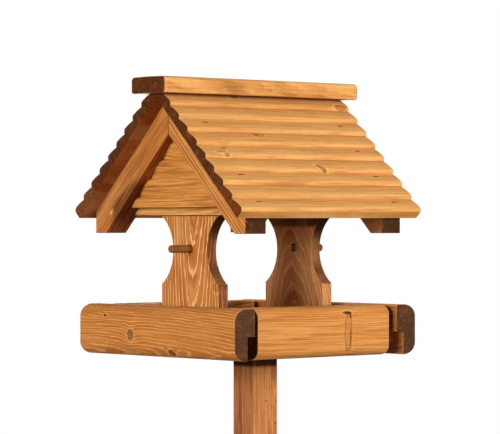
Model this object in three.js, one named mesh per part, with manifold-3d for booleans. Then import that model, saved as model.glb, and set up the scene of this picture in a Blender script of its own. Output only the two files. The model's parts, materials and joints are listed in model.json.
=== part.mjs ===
// Bird table: a gabled roof on two scalloped pillars over a railed tray, on a post with crossed
// feet. Lengths are millimetres, +Z is up and +X runs along the ridge. The origin is on the
// ground under the middle of the post. The front gable faces -X, and left is +Y.

import * as THREE from 'three';
import { mergeVertices } from 'three/addons/utils/BufferGeometryUtils.js';
import Module from 'manifold-3d';

const wasm = await Module();
wasm.setup();

// Clearances and cuts
const fit = 0.3; // left between two pieces that touch
const overrun = 5; // how far a cutter passes the piece that it cuts

// Ridged board of the roof and the gables: gentle ramps, each ending in a round nose
const boardValley = 13; // thickness in the valleys
const boardRise = 4.5; // height of the crests above the valleys
const ridgePitch = 28.8; // from one nose to the next
const ridgesPerBoard = 2;
const noseRadius = 6.5;
const valleyFlat = 0.8; // level strip at the start of each ramp
const tongueThick = 4;
const tongueLength = 5;

// Roof
const pitch = THREE.MathUtils.degToRad(45);
const roofLength = 381; // of the boards, along the ridge
const rafterReach = 177.8; // from the middle to the plumb cut of a rafter foot
const plumbCut = 33.3; // height of that cut
const eaveOverhang = 14.5; // of the boards past the rafter foot, down the slope
const gableOverhang = 26.5; // of the boards past the rafters, along the ridge
const rafterWidth = 40.8; // square to the slope
const rafterDepth = 42.3; // along the ridge
const rafterDrop = 28.2; // from the foot of the tie down to the level cut

// Ridge cap
const capPast = 16; // past the roof boards at each end
const capWidth = 80;
const capThick = 26;
const capSeat = 3.7; // height of its underside above the peak under the boards
const capArris = 4.5;

// Gables
const gableSetback = 18; // from the face of the rafters back to the crests
const gableLift = 11.6; // height of the tie that shows below the gable boards
const gableStrip = 17; // height of the lowest gable board, ripped from a whole one
const tieHeight = 40;
const tieDepth = 28;

// Pillars and perches
const pillarWidth = 135;
const pillarHeight = 182;
const pillarThick = 20;
const shoulderHeight = 74.5; // of the straight sides below the scallop
const scallopDepth = 27.5;
const headLip = 1.5; // straight side above the scallop
const perchHeight = 130; // above the foot of the pillar
const perchRadius = 6;
const perchReach = 39.5; // out from the face of the pillar
const perchRecess = 2; // of its inner end in the pillar
const perchArris = 0.8;

// Tray
const trayHeight = 1018; // of the underside of the rails above the ground
const trayPast = 0.5; // past the roof boards at each end
const trayWidth = 357;
const railThick = 41.7;
const railHeight = 78.7;
const railChamfer = 20; // outer edges, at 45 degrees
const railRound = 28; // of the corners that the chamfers leave
const railArris = 5; // inner top edge
const endRailPast = 6.8; // past the side rails at each end
const drainGap = 9.6; // at each end of a side rail
const rebateWidth = 15;
const rebateHeight = 36.5;
const floorBoardCount = 5;
const floorThick = 14;
const floorGap = 2;
const battenThick = 21;
const battenWidth = 44;
const bearerThick = 22;
const bearerHeight = 28;

// Post and feet
const postWidth = 50;
const postArris = 2;
const headShift = 17; // of the roof and the tray to the front of the post
const footLength = 600;
const footWidth = 50;
const footHeight = 60;
const footChamfer = 24;
const braceReach = 230; // along the foot, and up the post
const braceWidth = 42; // square to its length
const braceThick = 40;

// Fasteners
const boltRadius = 4;
const boltSpacing = 24;
const boltHeadRadius = 10;
const boltHeadHeight = 5;
const boltEnd = 3; // past the nut
const nutRadius = 7.5; // to its corners
const nutHeight = 6.5;
const screwRadius = 2.2;
const screwHeadRadius = 4.2;
const screwHeadHeight = 3.2;
const screwPoint = 6;
const pillarScrewLength = 65;
const pillarScrewSpacing = 90;
const tieScrewLength = 70;
const tieScrewSpacing = 40;

// Fineness of round shapes, in straight steps
const arcSteps = 3; // for half of each arc
const perchSides = 24;
const boltSides = 16;
const screwSides = 10;

// Directions, and heights and faces that several pieces share
const alongX = new THREE.Vector3(1, 0, 0);
const alongY = new THREE.Vector3(0, 1, 0);
const alongZ = new THREE.Vector3(0, 0, 1);
const rise = Math.sin(pitch);
const run = Math.cos(pitch);

const boardCover = ridgesPerBoard * ridgePitch;
const boardCrest = boardValley + boardRise;
const leastBoard = ridgePitch; // a narrower strip is left on the board beside it

const floorTop = trayHeight + rebateHeight - fit;
const floorFoot = floorTop - floorThick;
const bearerTop = floorFoot - fit;
const pillarFoot = floorTop + fit;
const tieFoot = pillarFoot + pillarHeight + fit;
const rafterFoot = tieFoot - rafterDrop;
const rafterPeak = rafterFoot + plumbCut + rafterReach * rise / run;
const peak = rafterPeak + fit / run;
const gablePeak = rafterPeak - (rafterWidth + fit) / run;

const rafterFace = roofLength / 2 - gableOverhang;
const gableBack = rafterFace - gableSetback - boardCrest;
const tieFace = gableBack - fit;
const pillarBack = tieFace - tieDepth;
const pillarMiddle = pillarBack + pillarThick / 2;
const capLength = roofLength + 2 * capPast;
const railFace = roofLength / 2 + trayPast - railThick;
const sideFace = trayWidth / 2 - railThick;
const bearerFace = postWidth / 2 + fit;

// A closed outline from corners [a, b, radius]. A corner with a radius is rounded by an arc,
// which is made smaller where its two sides are too short for it.
function outline(corners) {
  const shape = new THREE.Shape();
  corners.forEach(([a, b, radius = 0], index) => {
    const corner = new THREE.Vector2(a, b);
    const before = new THREE.Vector2(...corners.at(index - 1)).sub(corner);
    const after = new THREE.Vector2(...corners[(index + 1) % corners.length]).sub(corner);
    const room = Math.min(before.length(), after.length()) / 2;
    before.normalize();
    after.normalize();
    const half = Math.acos(before.dot(after)) / 2;
    const round = Math.min(radius, room * Math.tan(half));
    const start = corner.clone().addScaledVector(before, round / Math.tan(half));
    if (index === 0) shape.moveTo(start.x, start.y);
    else shape.lineTo(start.x, start.y);
    if (round > 0) {
      const end = corner.clone().addScaledVector(after, round / Math.tan(half));
      const middle = before.add(after).normalize().multiplyScalar(round / Math.sin(half)).add(corner);
      start.sub(middle);
      end.sub(middle);
      const clockwise = start.cross(end) < 0;
      shape.absarc(middle.x, middle.y, round, start.angle(), end.angle(), clockwise);
    }
  });
  return shape;
}

// An outline extruded both ways from its plane: its first coordinate runs along the first
// axis, its second along the second, and its own zero lies at the origin that is given.
function prism(shape, length, firstAxis, secondAxis, origin) {
  const settings = { depth: length, bevelEnabled: false, curveSegments: arcSteps };
  const geometry = new THREE.ExtrudeGeometry(shape, settings);
  geometry.translate(0, 0, -length / 2);
  const thirdAxis = firstAxis.clone().cross(secondAxis);
  const place = new THREE.Matrix4().makeBasis(firstAxis, secondAxis, thirdAxis);
  return geometry.applyMatrix4(place.setPosition(origin));
}

// A block between two corners.
function block(low, high) {
  const size = high.clone().sub(low);
  const middle = low.clone().add(high).divideScalar(2);
  return new THREE.BoxGeometry(size.x, size.y, size.z).translate(middle.x, middle.y, middle.z);
}

// A turned piece about Z, from [radius, height] points that start and end on the axis.
function turned(points, sides) {
  const profile = points.map(([radius, height]) => new THREE.Vector2(radius, height));
  return new THREE.LatheGeometry(profile, sides).rotateX(Math.PI / 2);
}

// The boolean solid of a closed geometry.
function solid(geometry) {
  const bare = geometry.clone();
  bare.deleteAttribute('normal');
  bare.deleteAttribute('uv');
  const { attributes, index } = mergeVertices(bare);
  const vertProperties = new Float32Array(attributes.position.array);
  const triVerts = new Uint32Array(index.array);
  return new wasm.Manifold(new wasm.Mesh({ numProp: 3, vertProperties, triVerts }));
}

// The geometry of a boolean solid.
function geometryOf(result) {
  const { vertProperties, triVerts } = result.getMesh();
  const indexed = new THREE.BufferGeometry();
  indexed.setAttribute('position', new THREE.BufferAttribute(vertProperties, 3));
  indexed.setIndex(new THREE.BufferAttribute(triVerts, 1));
  const geometry = indexed.toNonIndexed();
  geometry.computeVertexNormals();
  return geometry;
}

// A geometry with others cut away from it.
function cut(geometry, cutters) {
  return geometryOf(cutters.reduce((left, cutter) => left.subtract(solid(cutter)), solid(geometry)));
}

// Finishes: each piece gets a material of its own.
const finishes = {
  roofTimber: { color: '#cd8f4a', roughness: 0.72, metalness: 0 },
  frameTimber: { color: '#cf9049', roughness: 0.7, metalness: 0 },
  trayTimber: { color: '#c98843', roughness: 0.7, metalness: 0 },
  standTimber: { color: '#bd7a3e', roughness: 0.72, metalness: 0 },
  dowel: { color: '#8e552b', roughness: 0.75, metalness: 0 },
  zinc: { color: '#b4b7ba', roughness: 0.4, metalness: 1 },
};

function piece(name, geometry, finish) {
  const mesh = new THREE.Mesh(geometry, new THREE.MeshStandardMaterial(finishes[finish]));
  mesh.name = name;
  return mesh;
}

// Ridged board

// Its section between two joints: the ramps rise towards the second joint, where the last nose
// and the groove are. The tongue is at the first joint. The flat back lies on zero.
function boardSection(from, to, hasTongue, hasGroove) {
  const tongueFoot = (boardValley - tongueThick) / 2;
  const tongueHead = tongueFoot + tongueThick;
  const shape = new THREE.Shape();
  shape.moveTo(from, 0);
  shape.lineTo(to, 0);
  if (hasGroove) {
    const depth = tongueLength + fit;
    shape.lineTo(to, tongueFoot - fit);
    shape.lineTo(to - depth, tongueFoot - fit);
    shape.lineTo(to - depth, tongueHead + fit);
    shape.lineTo(to, tongueHead + fit);
  }
  const noseMiddle = boardCrest - noseRadius;
  const noseStart = Math.asin((boardValley - noseMiddle) / noseRadius);
  const noseHalf = noseRadius * Math.cos(noseStart);
  const ridges = Math.round((to - from) / ridgePitch);
  for (let ridge = 0; ridge < ridges; ridge += 1) {
    const end = to - ridge * ridgePitch;
    const middle = end - noseHalf;
    const rampFoot = end - ridgePitch + valleyFlat;
    const toNose = new THREE.Vector2(middle - rampFoot, noseMiddle - boardValley);
    const rampAngle = Math.atan2(toNose.y, toNose.x) + Math.asin(noseRadius / toNose.length());
    shape.lineTo(end, boardValley);
    shape.absarc(middle, noseMiddle, noseRadius, noseStart, rampAngle + Math.PI / 2, false);
    shape.lineTo(rampFoot, boardValley);
  }
  shape.lineTo(from, boardValley);
  if (hasTongue) {
    shape.lineTo(from, tongueHead);
    shape.lineTo(from - tongueLength, tongueHead);
    shape.lineTo(from - tongueLength, tongueFoot);
    shape.lineTo(from, tongueFoot);
  }
  return shape;
}

// Roof: each slope is measured down from the peak and out from the underside of the boards

const eaveEnd = rafterReach / run + eaveOverhang;

function slopeBoard(side, from, to, hasTongue, hasGroove) {
  const down = new THREE.Vector3(0, side * run, -rise);
  const out = new THREE.Vector3(0, side * rise, run);
  const section = boardSection(from + fit / 2, to - fit / 2, hasTongue, hasGroove);
  return prism(section, roofLength, down, out, new THREE.Vector3(0, 0, peak));
}

// The top board meets the one of the other slope at a plumb mitre, and is cut level for the cap.
function topBoard(side, to) {
  const ridges = Math.ceil((to + boardCrest) / ridgePitch) + 1;
  const board = slopeBoard(side, to - ridges * ridgePitch, to, false, true);
  const far = capWidth + ridges * ridgePitch;
  const length = roofLength / 2 + overrun;
  const across = [side * fit / 2, -side * far];
  const mitreLow = new THREE.Vector3(-length, Math.min(...across), peak - far);
  const mitreHigh = new THREE.Vector3(length, Math.max(...across), peak + far);
  const levelLow = new THREE.Vector3(-length, -far, peak + capSeat - fit);
  const levelHigh = new THREE.Vector3(length, far, peak + far);
  return cut(board, [block(mitreLow, mitreHigh), block(levelLow, levelHigh)]);
}

function slope(word, side) {
  const boards = [];
  let to = eaveEnd;
  while (to - boardCover > leastBoard) {
    const name = `roof_board_${word}_${boards.length + 1}`;
    const isEave = boards.length === 0;
    boards.push(piece(name, slopeBoard(side, to - boardCover, to, true, !isEave), 'roofTimber'));
    to -= boardCover;
  }
  boards.push(piece(`roof_board_${word}_${boards.length + 1}`, topBoard(side, to), 'roofTimber'));
  return boards;
}

function ridgeCap() {
  const half = capWidth / 2;
  const foot = peak + capSeat;
  const section = outline([
    [-half, foot, capArris / 2],
    [half, foot, capArris / 2],
    [half, foot + capThick, capArris],
    [-half, foot + capThick, capArris],
  ]);
  const origin = new THREE.Vector3();
  return piece('ridge_cap', prism(section, capLength, alongY, alongZ, origin), 'roofTimber');
}

// A rafter has a plumb mitre at the top, and a plumb and a level cut at its foot.
function rafter(name, end, side) {
  const steep = rise / run;
  const innerPeak = rafterPeak - rafterWidth / run;
  const mitre = fit / 2;
  const corners = [
    [mitre, rafterPeak - mitre * steep],
    [mitre, innerPeak - mitre * steep],
    [(innerPeak - rafterFoot) / steep, rafterFoot],
    [rafterReach, rafterFoot],
    [rafterReach, rafterPeak - rafterReach * steep],
  ];
  const section = outline(corners.map(([across, height]) => [side * across, height]));
  const origin = new THREE.Vector3(end * (rafterFace - rafterDepth / 2), 0, 0);
  return piece(name, prism(section, rafterDepth, alongY, alongZ, origin), 'frameTimber');
}

// Gables: the boards and the tie lie between the rafters and are cut to their slopes

// What lies below the inner faces of the rafters, as a wedge that runs along the ridge.
function underRafters(geometry) {
  const depth = rafterFoot - overrun;
  const half = (gablePeak - depth) * run / rise;
  const wedge = outline([[-half, depth], [half, depth], [0, gablePeak]]);
  const length = roofLength + capLength;
  const space = prism(wedge, length, alongY, alongZ, new THREE.Vector3());
  return geometryOf(solid(geometry).intersect(solid(space)));
}

// Gable boards lie level with their noses up, and the lowest one is ripped to a strip.
function gableBoards(word, end) {
  const out = new THREE.Vector3(end, 0, 0);
  const origin = new THREE.Vector3(end * gableBack, 0, 0);
  const width = 2 * rafterReach;
  const foot = tieFoot + gableLift;
  const board = (from, to, hasTongue, hasGroove) => {
    const section = boardSection(from + fit / 2, to - fit / 2, hasTongue, hasGroove);
    return prism(section, width, alongZ, out, origin);
  };
  const joints = [foot + gableStrip];
  while (joints.at(-1) + boardCover + leastBoard < gablePeak) {
    joints.push(joints.at(-1) + boardCover);
  }
  const strip = board(joints[0] - boardCover, joints[0], false, true);
  const waste = block(
    new THREE.Vector3(-roofLength, -width, joints[0] - boardCover - overrun),
    new THREE.Vector3(roofLength, width, foot),
  );
  const pieces = [cut(strip, [waste])];
  joints.forEach((joint, index) => {
    const isTop = index === joints.length - 1;
    const ridges = isTop ? Math.ceil((gablePeak - joint) / ridgePitch) : ridgesPerBoard;
    pieces.push(board(joint, joint + ridges * ridgePitch, true, !isTop));
  });
  return pieces.map((geometry, index) =>
    piece(`gable_board_${word}_${index + 1}`, underRafters(geometry), 'roofTimber'));
}

// The tie carries the gable boards and stands on the head of the pillar.
function tie(word, end) {
  const across = [end * tieFace, end * pillarBack];
  const low = new THREE.Vector3(Math.min(...across), -rafterReach, tieFoot);
  const high = new THREE.Vector3(Math.max(...across), rafterReach, tieFoot + tieHeight);
  const holes = tieScrewPlaces(end).map((place) => screwHole(tieScrewLength).applyMatrix4(place));
  return piece(`tie_${word}`, cut(underRafters(block(low, high)), holes), 'frameTimber');
}

// Pillars and perches

// A pillar has straight sides up to its shoulders, and one hollow arc above on each side.
function pillar(word, end) {
  const half = pillarWidth / 2;
  const scallopFoot = shoulderHeight;
  const scallopHead = pillarHeight - headLip;
  const chord = (scallopHead - scallopFoot) / 2;
  const radius = (chord ** 2 + scallopDepth ** 2) / (2 * scallopDepth);
  const middle = half - scallopDepth + radius;
  const sweep = Math.asin(chord / radius);
  const shape = new THREE.Shape();
  shape.moveTo(-half, 0);
  shape.lineTo(half, 0);
  shape.lineTo(half, scallopFoot);
  const height = (scallopFoot + scallopHead) / 2;
  shape.absarc(middle, height, radius, Math.PI + sweep, Math.PI - sweep, true);
  shape.lineTo(half, pillarHeight);
  shape.lineTo(-half, pillarHeight);
  shape.lineTo(-half, scallopHead);
  shape.absarc(-middle, height, radius, sweep, -sweep, true);
  const settings = { depth: pillarThick, bevelEnabled: false, curveSegments: 3 * arcSteps };
  const board = new THREE.ExtrudeGeometry(shape, settings).translate(0, 0, -pillarThick / 2);
  const place = new THREE.Matrix4().makeBasis(alongY, alongZ, alongX);
  board.applyMatrix4(place.setPosition(end * pillarMiddle, 0, pillarFoot));
  const bore = new THREE.CylinderGeometry(
    perchRadius + fit,
    perchRadius + fit,
    pillarThick + 2 * overrun,
    perchSides,
  );
  bore.rotateZ(Math.PI / 2).translate(end * pillarMiddle, 0, pillarFoot + perchHeight);
  const screws = [
    ...pillarScrewPlaces(end).map((spot) => screwHole(pillarScrewLength).applyMatrix4(spot)),
    ...tieScrewPlaces(end).map((spot) => screwHole(tieScrewLength).applyMatrix4(spot)),
  ];
  return piece(`pillar_${word}`, cut(board, [bore, ...screws]), 'frameTimber');
}

function perch(word, end) {
  const length = perchReach + pillarThick - perchRecess;
  const inner = perchRadius - perchArris;
  const peg = turned([
    [0, 0],
    [inner, 0],
    [perchRadius, perchArris],
    [perchRadius, length - perchArris],
    [inner, length],
    [0, length],
  ], perchSides);
  peg.rotateY(end * Math.PI / 2);
  peg.translate(end * (pillarBack + perchRecess), 0, pillarFoot + perchHeight);
  return piece(`perch_${word}`, peg, 'dowel');
}

// Screws point along +Z from the top of the head, which lies at zero, and holes open below it

function screwShape(length, margin, mouth) {
  return turned([
    [0, -mouth],
    [screwHeadRadius + margin, -mouth],
    [screwHeadRadius + margin, 0],
    [screwRadius + margin, screwHeadHeight],
    [screwRadius + margin, length - screwPoint],
    [0, length + margin],
  ], screwSides);
}

function screw(length) {
  return turned([
    [0, 0],
    [screwHeadRadius, 0],
    [screwRadius, screwHeadHeight],
    [screwRadius, length - screwPoint],
    [0, length],
  ], screwSides);
}

function screwHole(length) {
  return screwShape(length, fit, overrun);
}

// From under the floor battens up into the pillar.
function pillarScrewPlaces(end) {
  return [-1, 1].map((side) => new THREE.Matrix4().setPosition(
    end * pillarMiddle,
    side * pillarScrewSpacing / 2,
    floorFoot - fit - battenThick,
  ));
}

// From the top of the tie down into the pillar.
function tieScrewPlaces(end) {
  return [-1, 1].map((side) => new THREE.Matrix4().makeRotationX(Math.PI).setPosition(
    end * pillarMiddle,
    side * tieScrewSpacing / 2,
    tieFoot + tieHeight,
  ));
}

function gableScrews(word, end) {
  const below = pillarScrewPlaces(end).map((place, index) =>
    piece(`pillar_screw_${word}_${index + 1}`, screw(pillarScrewLength).applyMatrix4(place), 'zinc'));
  const above = tieScrewPlaces(end).map((place, index) =>
    piece(`tie_screw_${word}_${index + 1}`, screw(tieScrewLength).applyMatrix4(place), 'zinc'));
  return [...below, ...above];
}

// Tray

// Chamfered outer edges, and a rebate inside that takes the edges of the floor and the battens.
function railSection() {
  return outline([
    [rebateWidth, 0],
    [railThick - railChamfer, 0, railRound],
    [railThick, railChamfer, railRound],
    [railThick, railHeight - railChamfer, railRound],
    [railThick - railChamfer, railHeight, railRound],
    [0, railHeight, railArris],
    [0, rebateHeight],
    [rebateWidth, rebateHeight],
  ]);
}

function endRail(word, end) {
  const out = new THREE.Vector3(end, 0, 0);
  const origin = new THREE.Vector3(end * railFace, 0, trayHeight);
  const rail = prism(railSection(), trayWidth + 2 * endRailPast, out, alongZ, origin);
  return piece(`tray_rail_${word}`, rail, 'trayTimber');
}

function sideRail(word, side) {
  const out = new THREE.Vector3(0, side, 0);
  const origin = new THREE.Vector3(0, side * sideFace, trayHeight);
  const rail = prism(railSection(), 2 * (railFace - drainGap), out, alongZ, origin);
  return piece(`tray_rail_${word}`, rail, 'trayTimber');
}

function floorBoards() {
  const length = railFace + rebateWidth - fit;
  const width = sideFace + rebateWidth - fit;
  const pace = (2 * width + floorGap) / floorBoardCount;
  const holes = [-1, 1].flatMap(pillarScrewPlaces).map((place) =>
    screwHole(pillarScrewLength).applyMatrix4(place));
  return Array.from({ length: floorBoardCount }, (_, index) => {
    const start = index * pace - width;
    const board = block(
      new THREE.Vector3(-length, start, floorFoot),
      new THREE.Vector3(length, start + pace - floorGap, floorTop),
    );
    return piece(`floor_board_${index + 1}`, cut(board, holes), 'trayTimber');
  });
}

function batten(word, end) {
  const half = sideFace + rebateWidth - fit;
  const inner = pillarMiddle - battenWidth / 2;
  const across = [end * inner, end * (inner + battenWidth)];
  const timber = block(
    new THREE.Vector3(Math.min(...across), -half, bearerTop - battenThick),
    new THREE.Vector3(Math.max(...across), half, bearerTop),
  );
  const holes = pillarScrewPlaces(end).map((place) =>
    screwHole(pillarScrewLength).applyMatrix4(place));
  return piece(`floor_batten_${word}`, cut(timber, holes), 'trayTimber');
}

// Bearers between the battens hold the top of the post, with bolts across it

const boltPlaces = [-1, 1].map((which) => which * boltSpacing / 2);
const boltHeight = bearerTop - bearerHeight / 2;

function boltBore(place) {
  const radius = boltRadius + fit;
  const length = 2 * (bearerFace + bearerThick + overrun);
  return new THREE.CylinderGeometry(radius, radius, length, boltSides).translate(place, 0, boltHeight);
}

function bearer(word, side) {
  const half = pillarMiddle - battenWidth / 2 - fit;
  const across = [side * bearerFace, side * (bearerFace + bearerThick)];
  const timber = block(
    new THREE.Vector3(-half, Math.min(...across), bearerTop - bearerHeight),
    new THREE.Vector3(half, Math.max(...across), bearerTop),
  );
  const bores = boltPlaces.map((place) => boltBore(headShift + place));
  return piece(`post_bearer_${word}`, cut(timber, bores), 'trayTimber');
}

// A bolt with a domed head on the right, its shank through bearer, post and bearer.
function bolt(name, place) {
  const face = bearerFace + bearerThick + fit;
  const length = 2 * face + nutHeight + boltEnd;
  const dome = Array.from({ length: arcSteps }, (_, step) => {
    const angle = step / arcSteps * Math.PI / 2;
    return [boltHeadRadius * Math.sin(angle), -boltHeadHeight * Math.cos(angle)];
  });
  const shape = turned([
    ...dome,
    [boltHeadRadius, 0],
    [boltRadius, 0],
    [boltRadius, length],
    [0, length],
  ], boltSides);
  shape.rotateX(-Math.PI / 2).translate(headShift + place, -face, boltHeight);
  return piece(name, shape, 'zinc');
}

function nut(name, place) {
  const middle = bearerFace + bearerThick + fit + nutHeight / 2;
  const hexagon = new THREE.CylinderGeometry(nutRadius, nutRadius, nutHeight, 6);
  hexagon.translate(headShift + place, middle, boltHeight);
  const radius = boltRadius + fit;
  const bore = new THREE.CylinderGeometry(radius, radius, nutHeight + 2 * overrun, boltSides);
  bore.translate(headShift + place, middle, boltHeight);
  return piece(name, cut(hexagon, [bore]), 'zinc');
}

// Post and feet

function post() {
  const half = postWidth / 2;
  const foot = footHeight + fit;
  const section = outline([
    [-half, -half, postArris],
    [half, -half, postArris],
    [half, half, postArris],
    [-half, half, postArris],
  ]);
  const origin = new THREE.Vector3(0, 0, (foot + bearerTop) / 2);
  const timber = prism(section, bearerTop - foot, alongX, alongY, origin);
  return piece('post', cut(timber, boltPlaces.map(boltBore)), 'standTimber');
}

// The feet are halved over each other: one is notched from the top, the other from below.
function foot(name, direction, isOver) {
  const half = footLength / 2;
  const section = outline([
    [-half, 0],
    [half, 0],
    [half, footHeight - footChamfer],
    [half - footChamfer, footHeight],
    [footChamfer - half, footHeight],
    [-half, footHeight - footChamfer],
  ]);
  const timber = prism(section, footWidth, direction, alongZ, new THREE.Vector3());
  const notch = footWidth / 2 + fit;
  const waste = isOver
    ? block(
      new THREE.Vector3(-notch, -notch, -overrun),
      new THREE.Vector3(notch, notch, footHeight / 2 + fit),
    )
    : block(
      new THREE.Vector3(-notch, -notch, footHeight / 2),
      new THREE.Vector3(notch, notch, footHeight + overrun),
    );
  return piece(name, cut(timber, [waste]), 'standTimber');
}

// A brace runs at half a right angle from the top of a foot to a face of the post.
function brace(name, turns) {
  const cutLength = braceWidth * Math.SQRT2;
  const near = postWidth / 2 + fit;
  const low = footHeight + fit;
  const section = outline([
    [near + braceReach - cutLength, low],
    [near + braceReach, low],
    [near, low + braceReach],
    [near, low + braceReach - cutLength],
  ]);
  const timber = prism(section, braceThick, alongX, alongZ, new THREE.Vector3());
  const mesh = piece(name, timber, 'standTimber');
  mesh.rotation.z = turns * Math.PI / 2;
  return mesh;
}

// Assembly

const ends = [['front', -1], ['back', 1]];
const sides = [['left', 1], ['right', -1]];

const roof = new THREE.Group();
roof.add(ridgeCap());
sides.forEach(([word, side]) => roof.add(...slope(word, side)));
ends.forEach(([word, end]) => {
  roof.add(...sides.map(([sideWord, side]) => rafter(`rafter_${word}_${sideWord}`, end, side)));
  roof.add(...gableBoards(word, end));
  roof.add(tie(word, end));
});

const tray = new THREE.Group();
ends.forEach(([word, end]) => tray.add(endRail(word, end), batten(word, end)));
sides.forEach(([word, side]) => tray.add(sideRail(word, side), bearer(word, side)));
tray.add(...floorBoards());
boltPlaces.forEach((place, index) => {
  tray.add(bolt(`post_bolt_${index + 1}`, place), nut(`post_nut_${index + 1}`, place));
});

const pillars = new THREE.Group();
ends.forEach(([word, end]) => {
  pillars.add(pillar(word, end), perch(word, end), ...gableScrews(word, end));
});

const head = new THREE.Group();
head.add(roof, pillars, tray);
head.position.x = -headShift;

const stand = new THREE.Group();
stand.add(post());
stand.add(foot('foot_long', alongX, false), foot('foot_cross', alongY, true));
['back', 'left', 'front', 'right'].forEach((word, turns) => stand.add(brace(`brace_${word}`, turns)));

const birdTable = new THREE.Group();
birdTable.add(head, stand);

export default birdTable;
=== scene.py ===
"""The looks of the bird table: every timber as a rounded, grained piece, on a pale studio floor.
"""

import json
import math

import bpy
import numpy as np
from bpy.props import FloatProperty, FloatVectorProperty, PointerProperty
from mathutils import Matrix, Vector
from mathutils.geometry import tessellate_polygon


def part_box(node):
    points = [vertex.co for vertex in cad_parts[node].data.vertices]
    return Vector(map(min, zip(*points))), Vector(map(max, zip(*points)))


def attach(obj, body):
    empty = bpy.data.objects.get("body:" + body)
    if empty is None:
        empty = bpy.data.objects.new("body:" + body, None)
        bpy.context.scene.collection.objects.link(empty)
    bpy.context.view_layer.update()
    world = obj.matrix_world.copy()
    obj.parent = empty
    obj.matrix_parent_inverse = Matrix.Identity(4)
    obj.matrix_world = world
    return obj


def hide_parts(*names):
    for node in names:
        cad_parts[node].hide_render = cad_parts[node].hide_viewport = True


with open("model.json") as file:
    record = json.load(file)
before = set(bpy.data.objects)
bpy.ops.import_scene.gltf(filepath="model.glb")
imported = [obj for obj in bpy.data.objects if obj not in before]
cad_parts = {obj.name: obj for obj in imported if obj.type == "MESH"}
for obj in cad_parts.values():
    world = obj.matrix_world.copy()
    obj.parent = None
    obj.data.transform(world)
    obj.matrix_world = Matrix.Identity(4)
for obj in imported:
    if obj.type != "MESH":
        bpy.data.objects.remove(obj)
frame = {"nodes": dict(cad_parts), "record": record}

bl_info = {
    "name": "Bird Table",
    "version": (1, 0, 0),
    "blender": (4, 5, 0),
    "location": "3D View > Sidebar > Bird Table",
    "description": "Builds the visual pieces of a roofed bird table around its solid model",
    "category": "Object",
}

BODY = "root"
SLOT_OF = {entry["node"]: entry["material_slot"] for entry in frame["record"]["subparts"]}

MM = 0.001
X, Y, UP = np.eye(3)
ORIGIN = np.zeros(3)
CROSSWISE = (Y, UP, X)  # for an outline across the table, carried along the ridge
ENDS = (("front", -1), ("back", 1))
SIDES = (("left", 1), ("right", -1))
FRONT, BACK, LEFT, RIGHT, DOWN = (-1, 0, 0), (1, 0, 0), (0, 1, 0), (0, -1, 0), (0, 0, -1)
WAYS = {"front": FRONT, "back": BACK, "left": LEFT, "right": RIGHT}


def linear(text):
    """A colour written as #rrggbb, as the linear values that a shader takes."""
    values = np.array([int(text[i:i + 2], 16) for i in (1, 3, 5)]) / 255
    low = values / 12.92
    high = ((values + 0.055) / 1.055) ** 2.4
    return (*np.where(values <= 0.04045, low, high).tolist(), 1.0)


# Settings


def length_property(name, value, description):
    """A length in metres, given here in millimetres."""
    return FloatProperty(name=name, description=description, default=value * MM,
                         min=0, subtype="DISTANCE", unit="LENGTH")


def angle_property(name, value, description):
    """An angle, given here in degrees."""
    return FloatProperty(name=name, description=description, default=math.radians(value),
                         subtype="ANGLE", unit="ROTATION")


def power_property(name, value, description):
    """The power of a lamp in watts."""
    return FloatProperty(name=name, description=description, default=value, unit="POWER")


def colour_property(name, text, description):
    """A colour given as #rrggbb."""
    return FloatVectorProperty(name=name, description=description, default=linear(text),
                               size=4, min=0, max=1, subtype="COLOR")


class TimberSizes(bpy.types.PropertyGroup):
    """Sizes of the timbers that the boxes of the frame don't give."""

    pitch: angle_property("Roof pitch", 45, "Slope of the roof and of the rafters")
    fit: length_property("Fit", 0.3, "Gap between two timbers that touch")
    arris: length_property("Arris", 1.2, "Rounding of the edges of sawn timber")
    fade: length_property("Wear fade", 2.5, "Distance over which the worn edge fades")
    valley: length_property("Board valley", 13, "Thickness of a ridged board in its valleys")
    rise: length_property("Board rise", 4.5, "Height of its crests above the valleys")
    ridge_pitch: length_property("Ridge pitch", 28.8, "From one nose to the next")
    nose_radius: length_property("Nose radius", 6.5, "Rounding of each nose")
    face_turn: angle_property("Nose face", 42, "Lean of the flat face above each nose")
    ramp_bulge: length_property("Ramp bulge", 1.0, "How far each ramp swells above its chord")
    crest_round: length_property("Crest rounding", 0.7, "Softness of the crest above that face")
    valley_flat: length_property("Valley flat", 0.8, "Level strip at the foot of each ramp")
    tongue_thick: length_property("Tongue thickness", 4, "Thickness of the tongue of a board")
    tongue_length: length_property("Tongue length", 5, "How far the tongue stands out")
    rafter_width: length_property("Rafter width", 40.8, "Width square to the slope")
    cap_arris: length_property("Cap arris", 6, "Rounding of the ridge cap's long edges")
    shoulder: length_property("Shoulder height", 74.5, "Straight side of a pillar below the scallop")
    scallop: length_property("Scallop depth", 27.5, "Depth of the hollow side of a pillar")
    head_lip: length_property("Head lip", 1.5, "Straight side of a pillar above the scallop")
    end_rail_deep: length_property("End rail edge depth", 24, "Level half axis of its round edges")
    end_rail_tall: length_property("End rail edge height", 19, "Upright half axis of those edges")
    side_rail_deep: length_property("Side rail edge depth", 19, "Level half axis of its round edges")
    side_rail_tall: length_property("Side rail edge height", 15.5, "Upright half axis of those edges")
    rail_arris: length_property("Rail arris", 5, "Rounding of the rails' inner top edge")
    rebate_width: length_property("Rebate width", 15, "Width of the rebate under the rails")
    rebate_height: length_property("Rebate height", 36.5, "Height of the rebate under the rails")
    foot_chamfer: length_property("Foot chamfer", 24, "Chamfer at the ends of the feet")
    brace_width: length_property("Brace width", 42, "Width of a brace square to its length")
    staple_crown: length_property("Staple crown", 11, "Width of the staples in the roof boards")
    staple_wire: length_property("Staple wire", 2.0, "Thickness of the staples")
    staple_place: length_property("Staple place", 19.7, "From a staple down to the lower joint")


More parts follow.
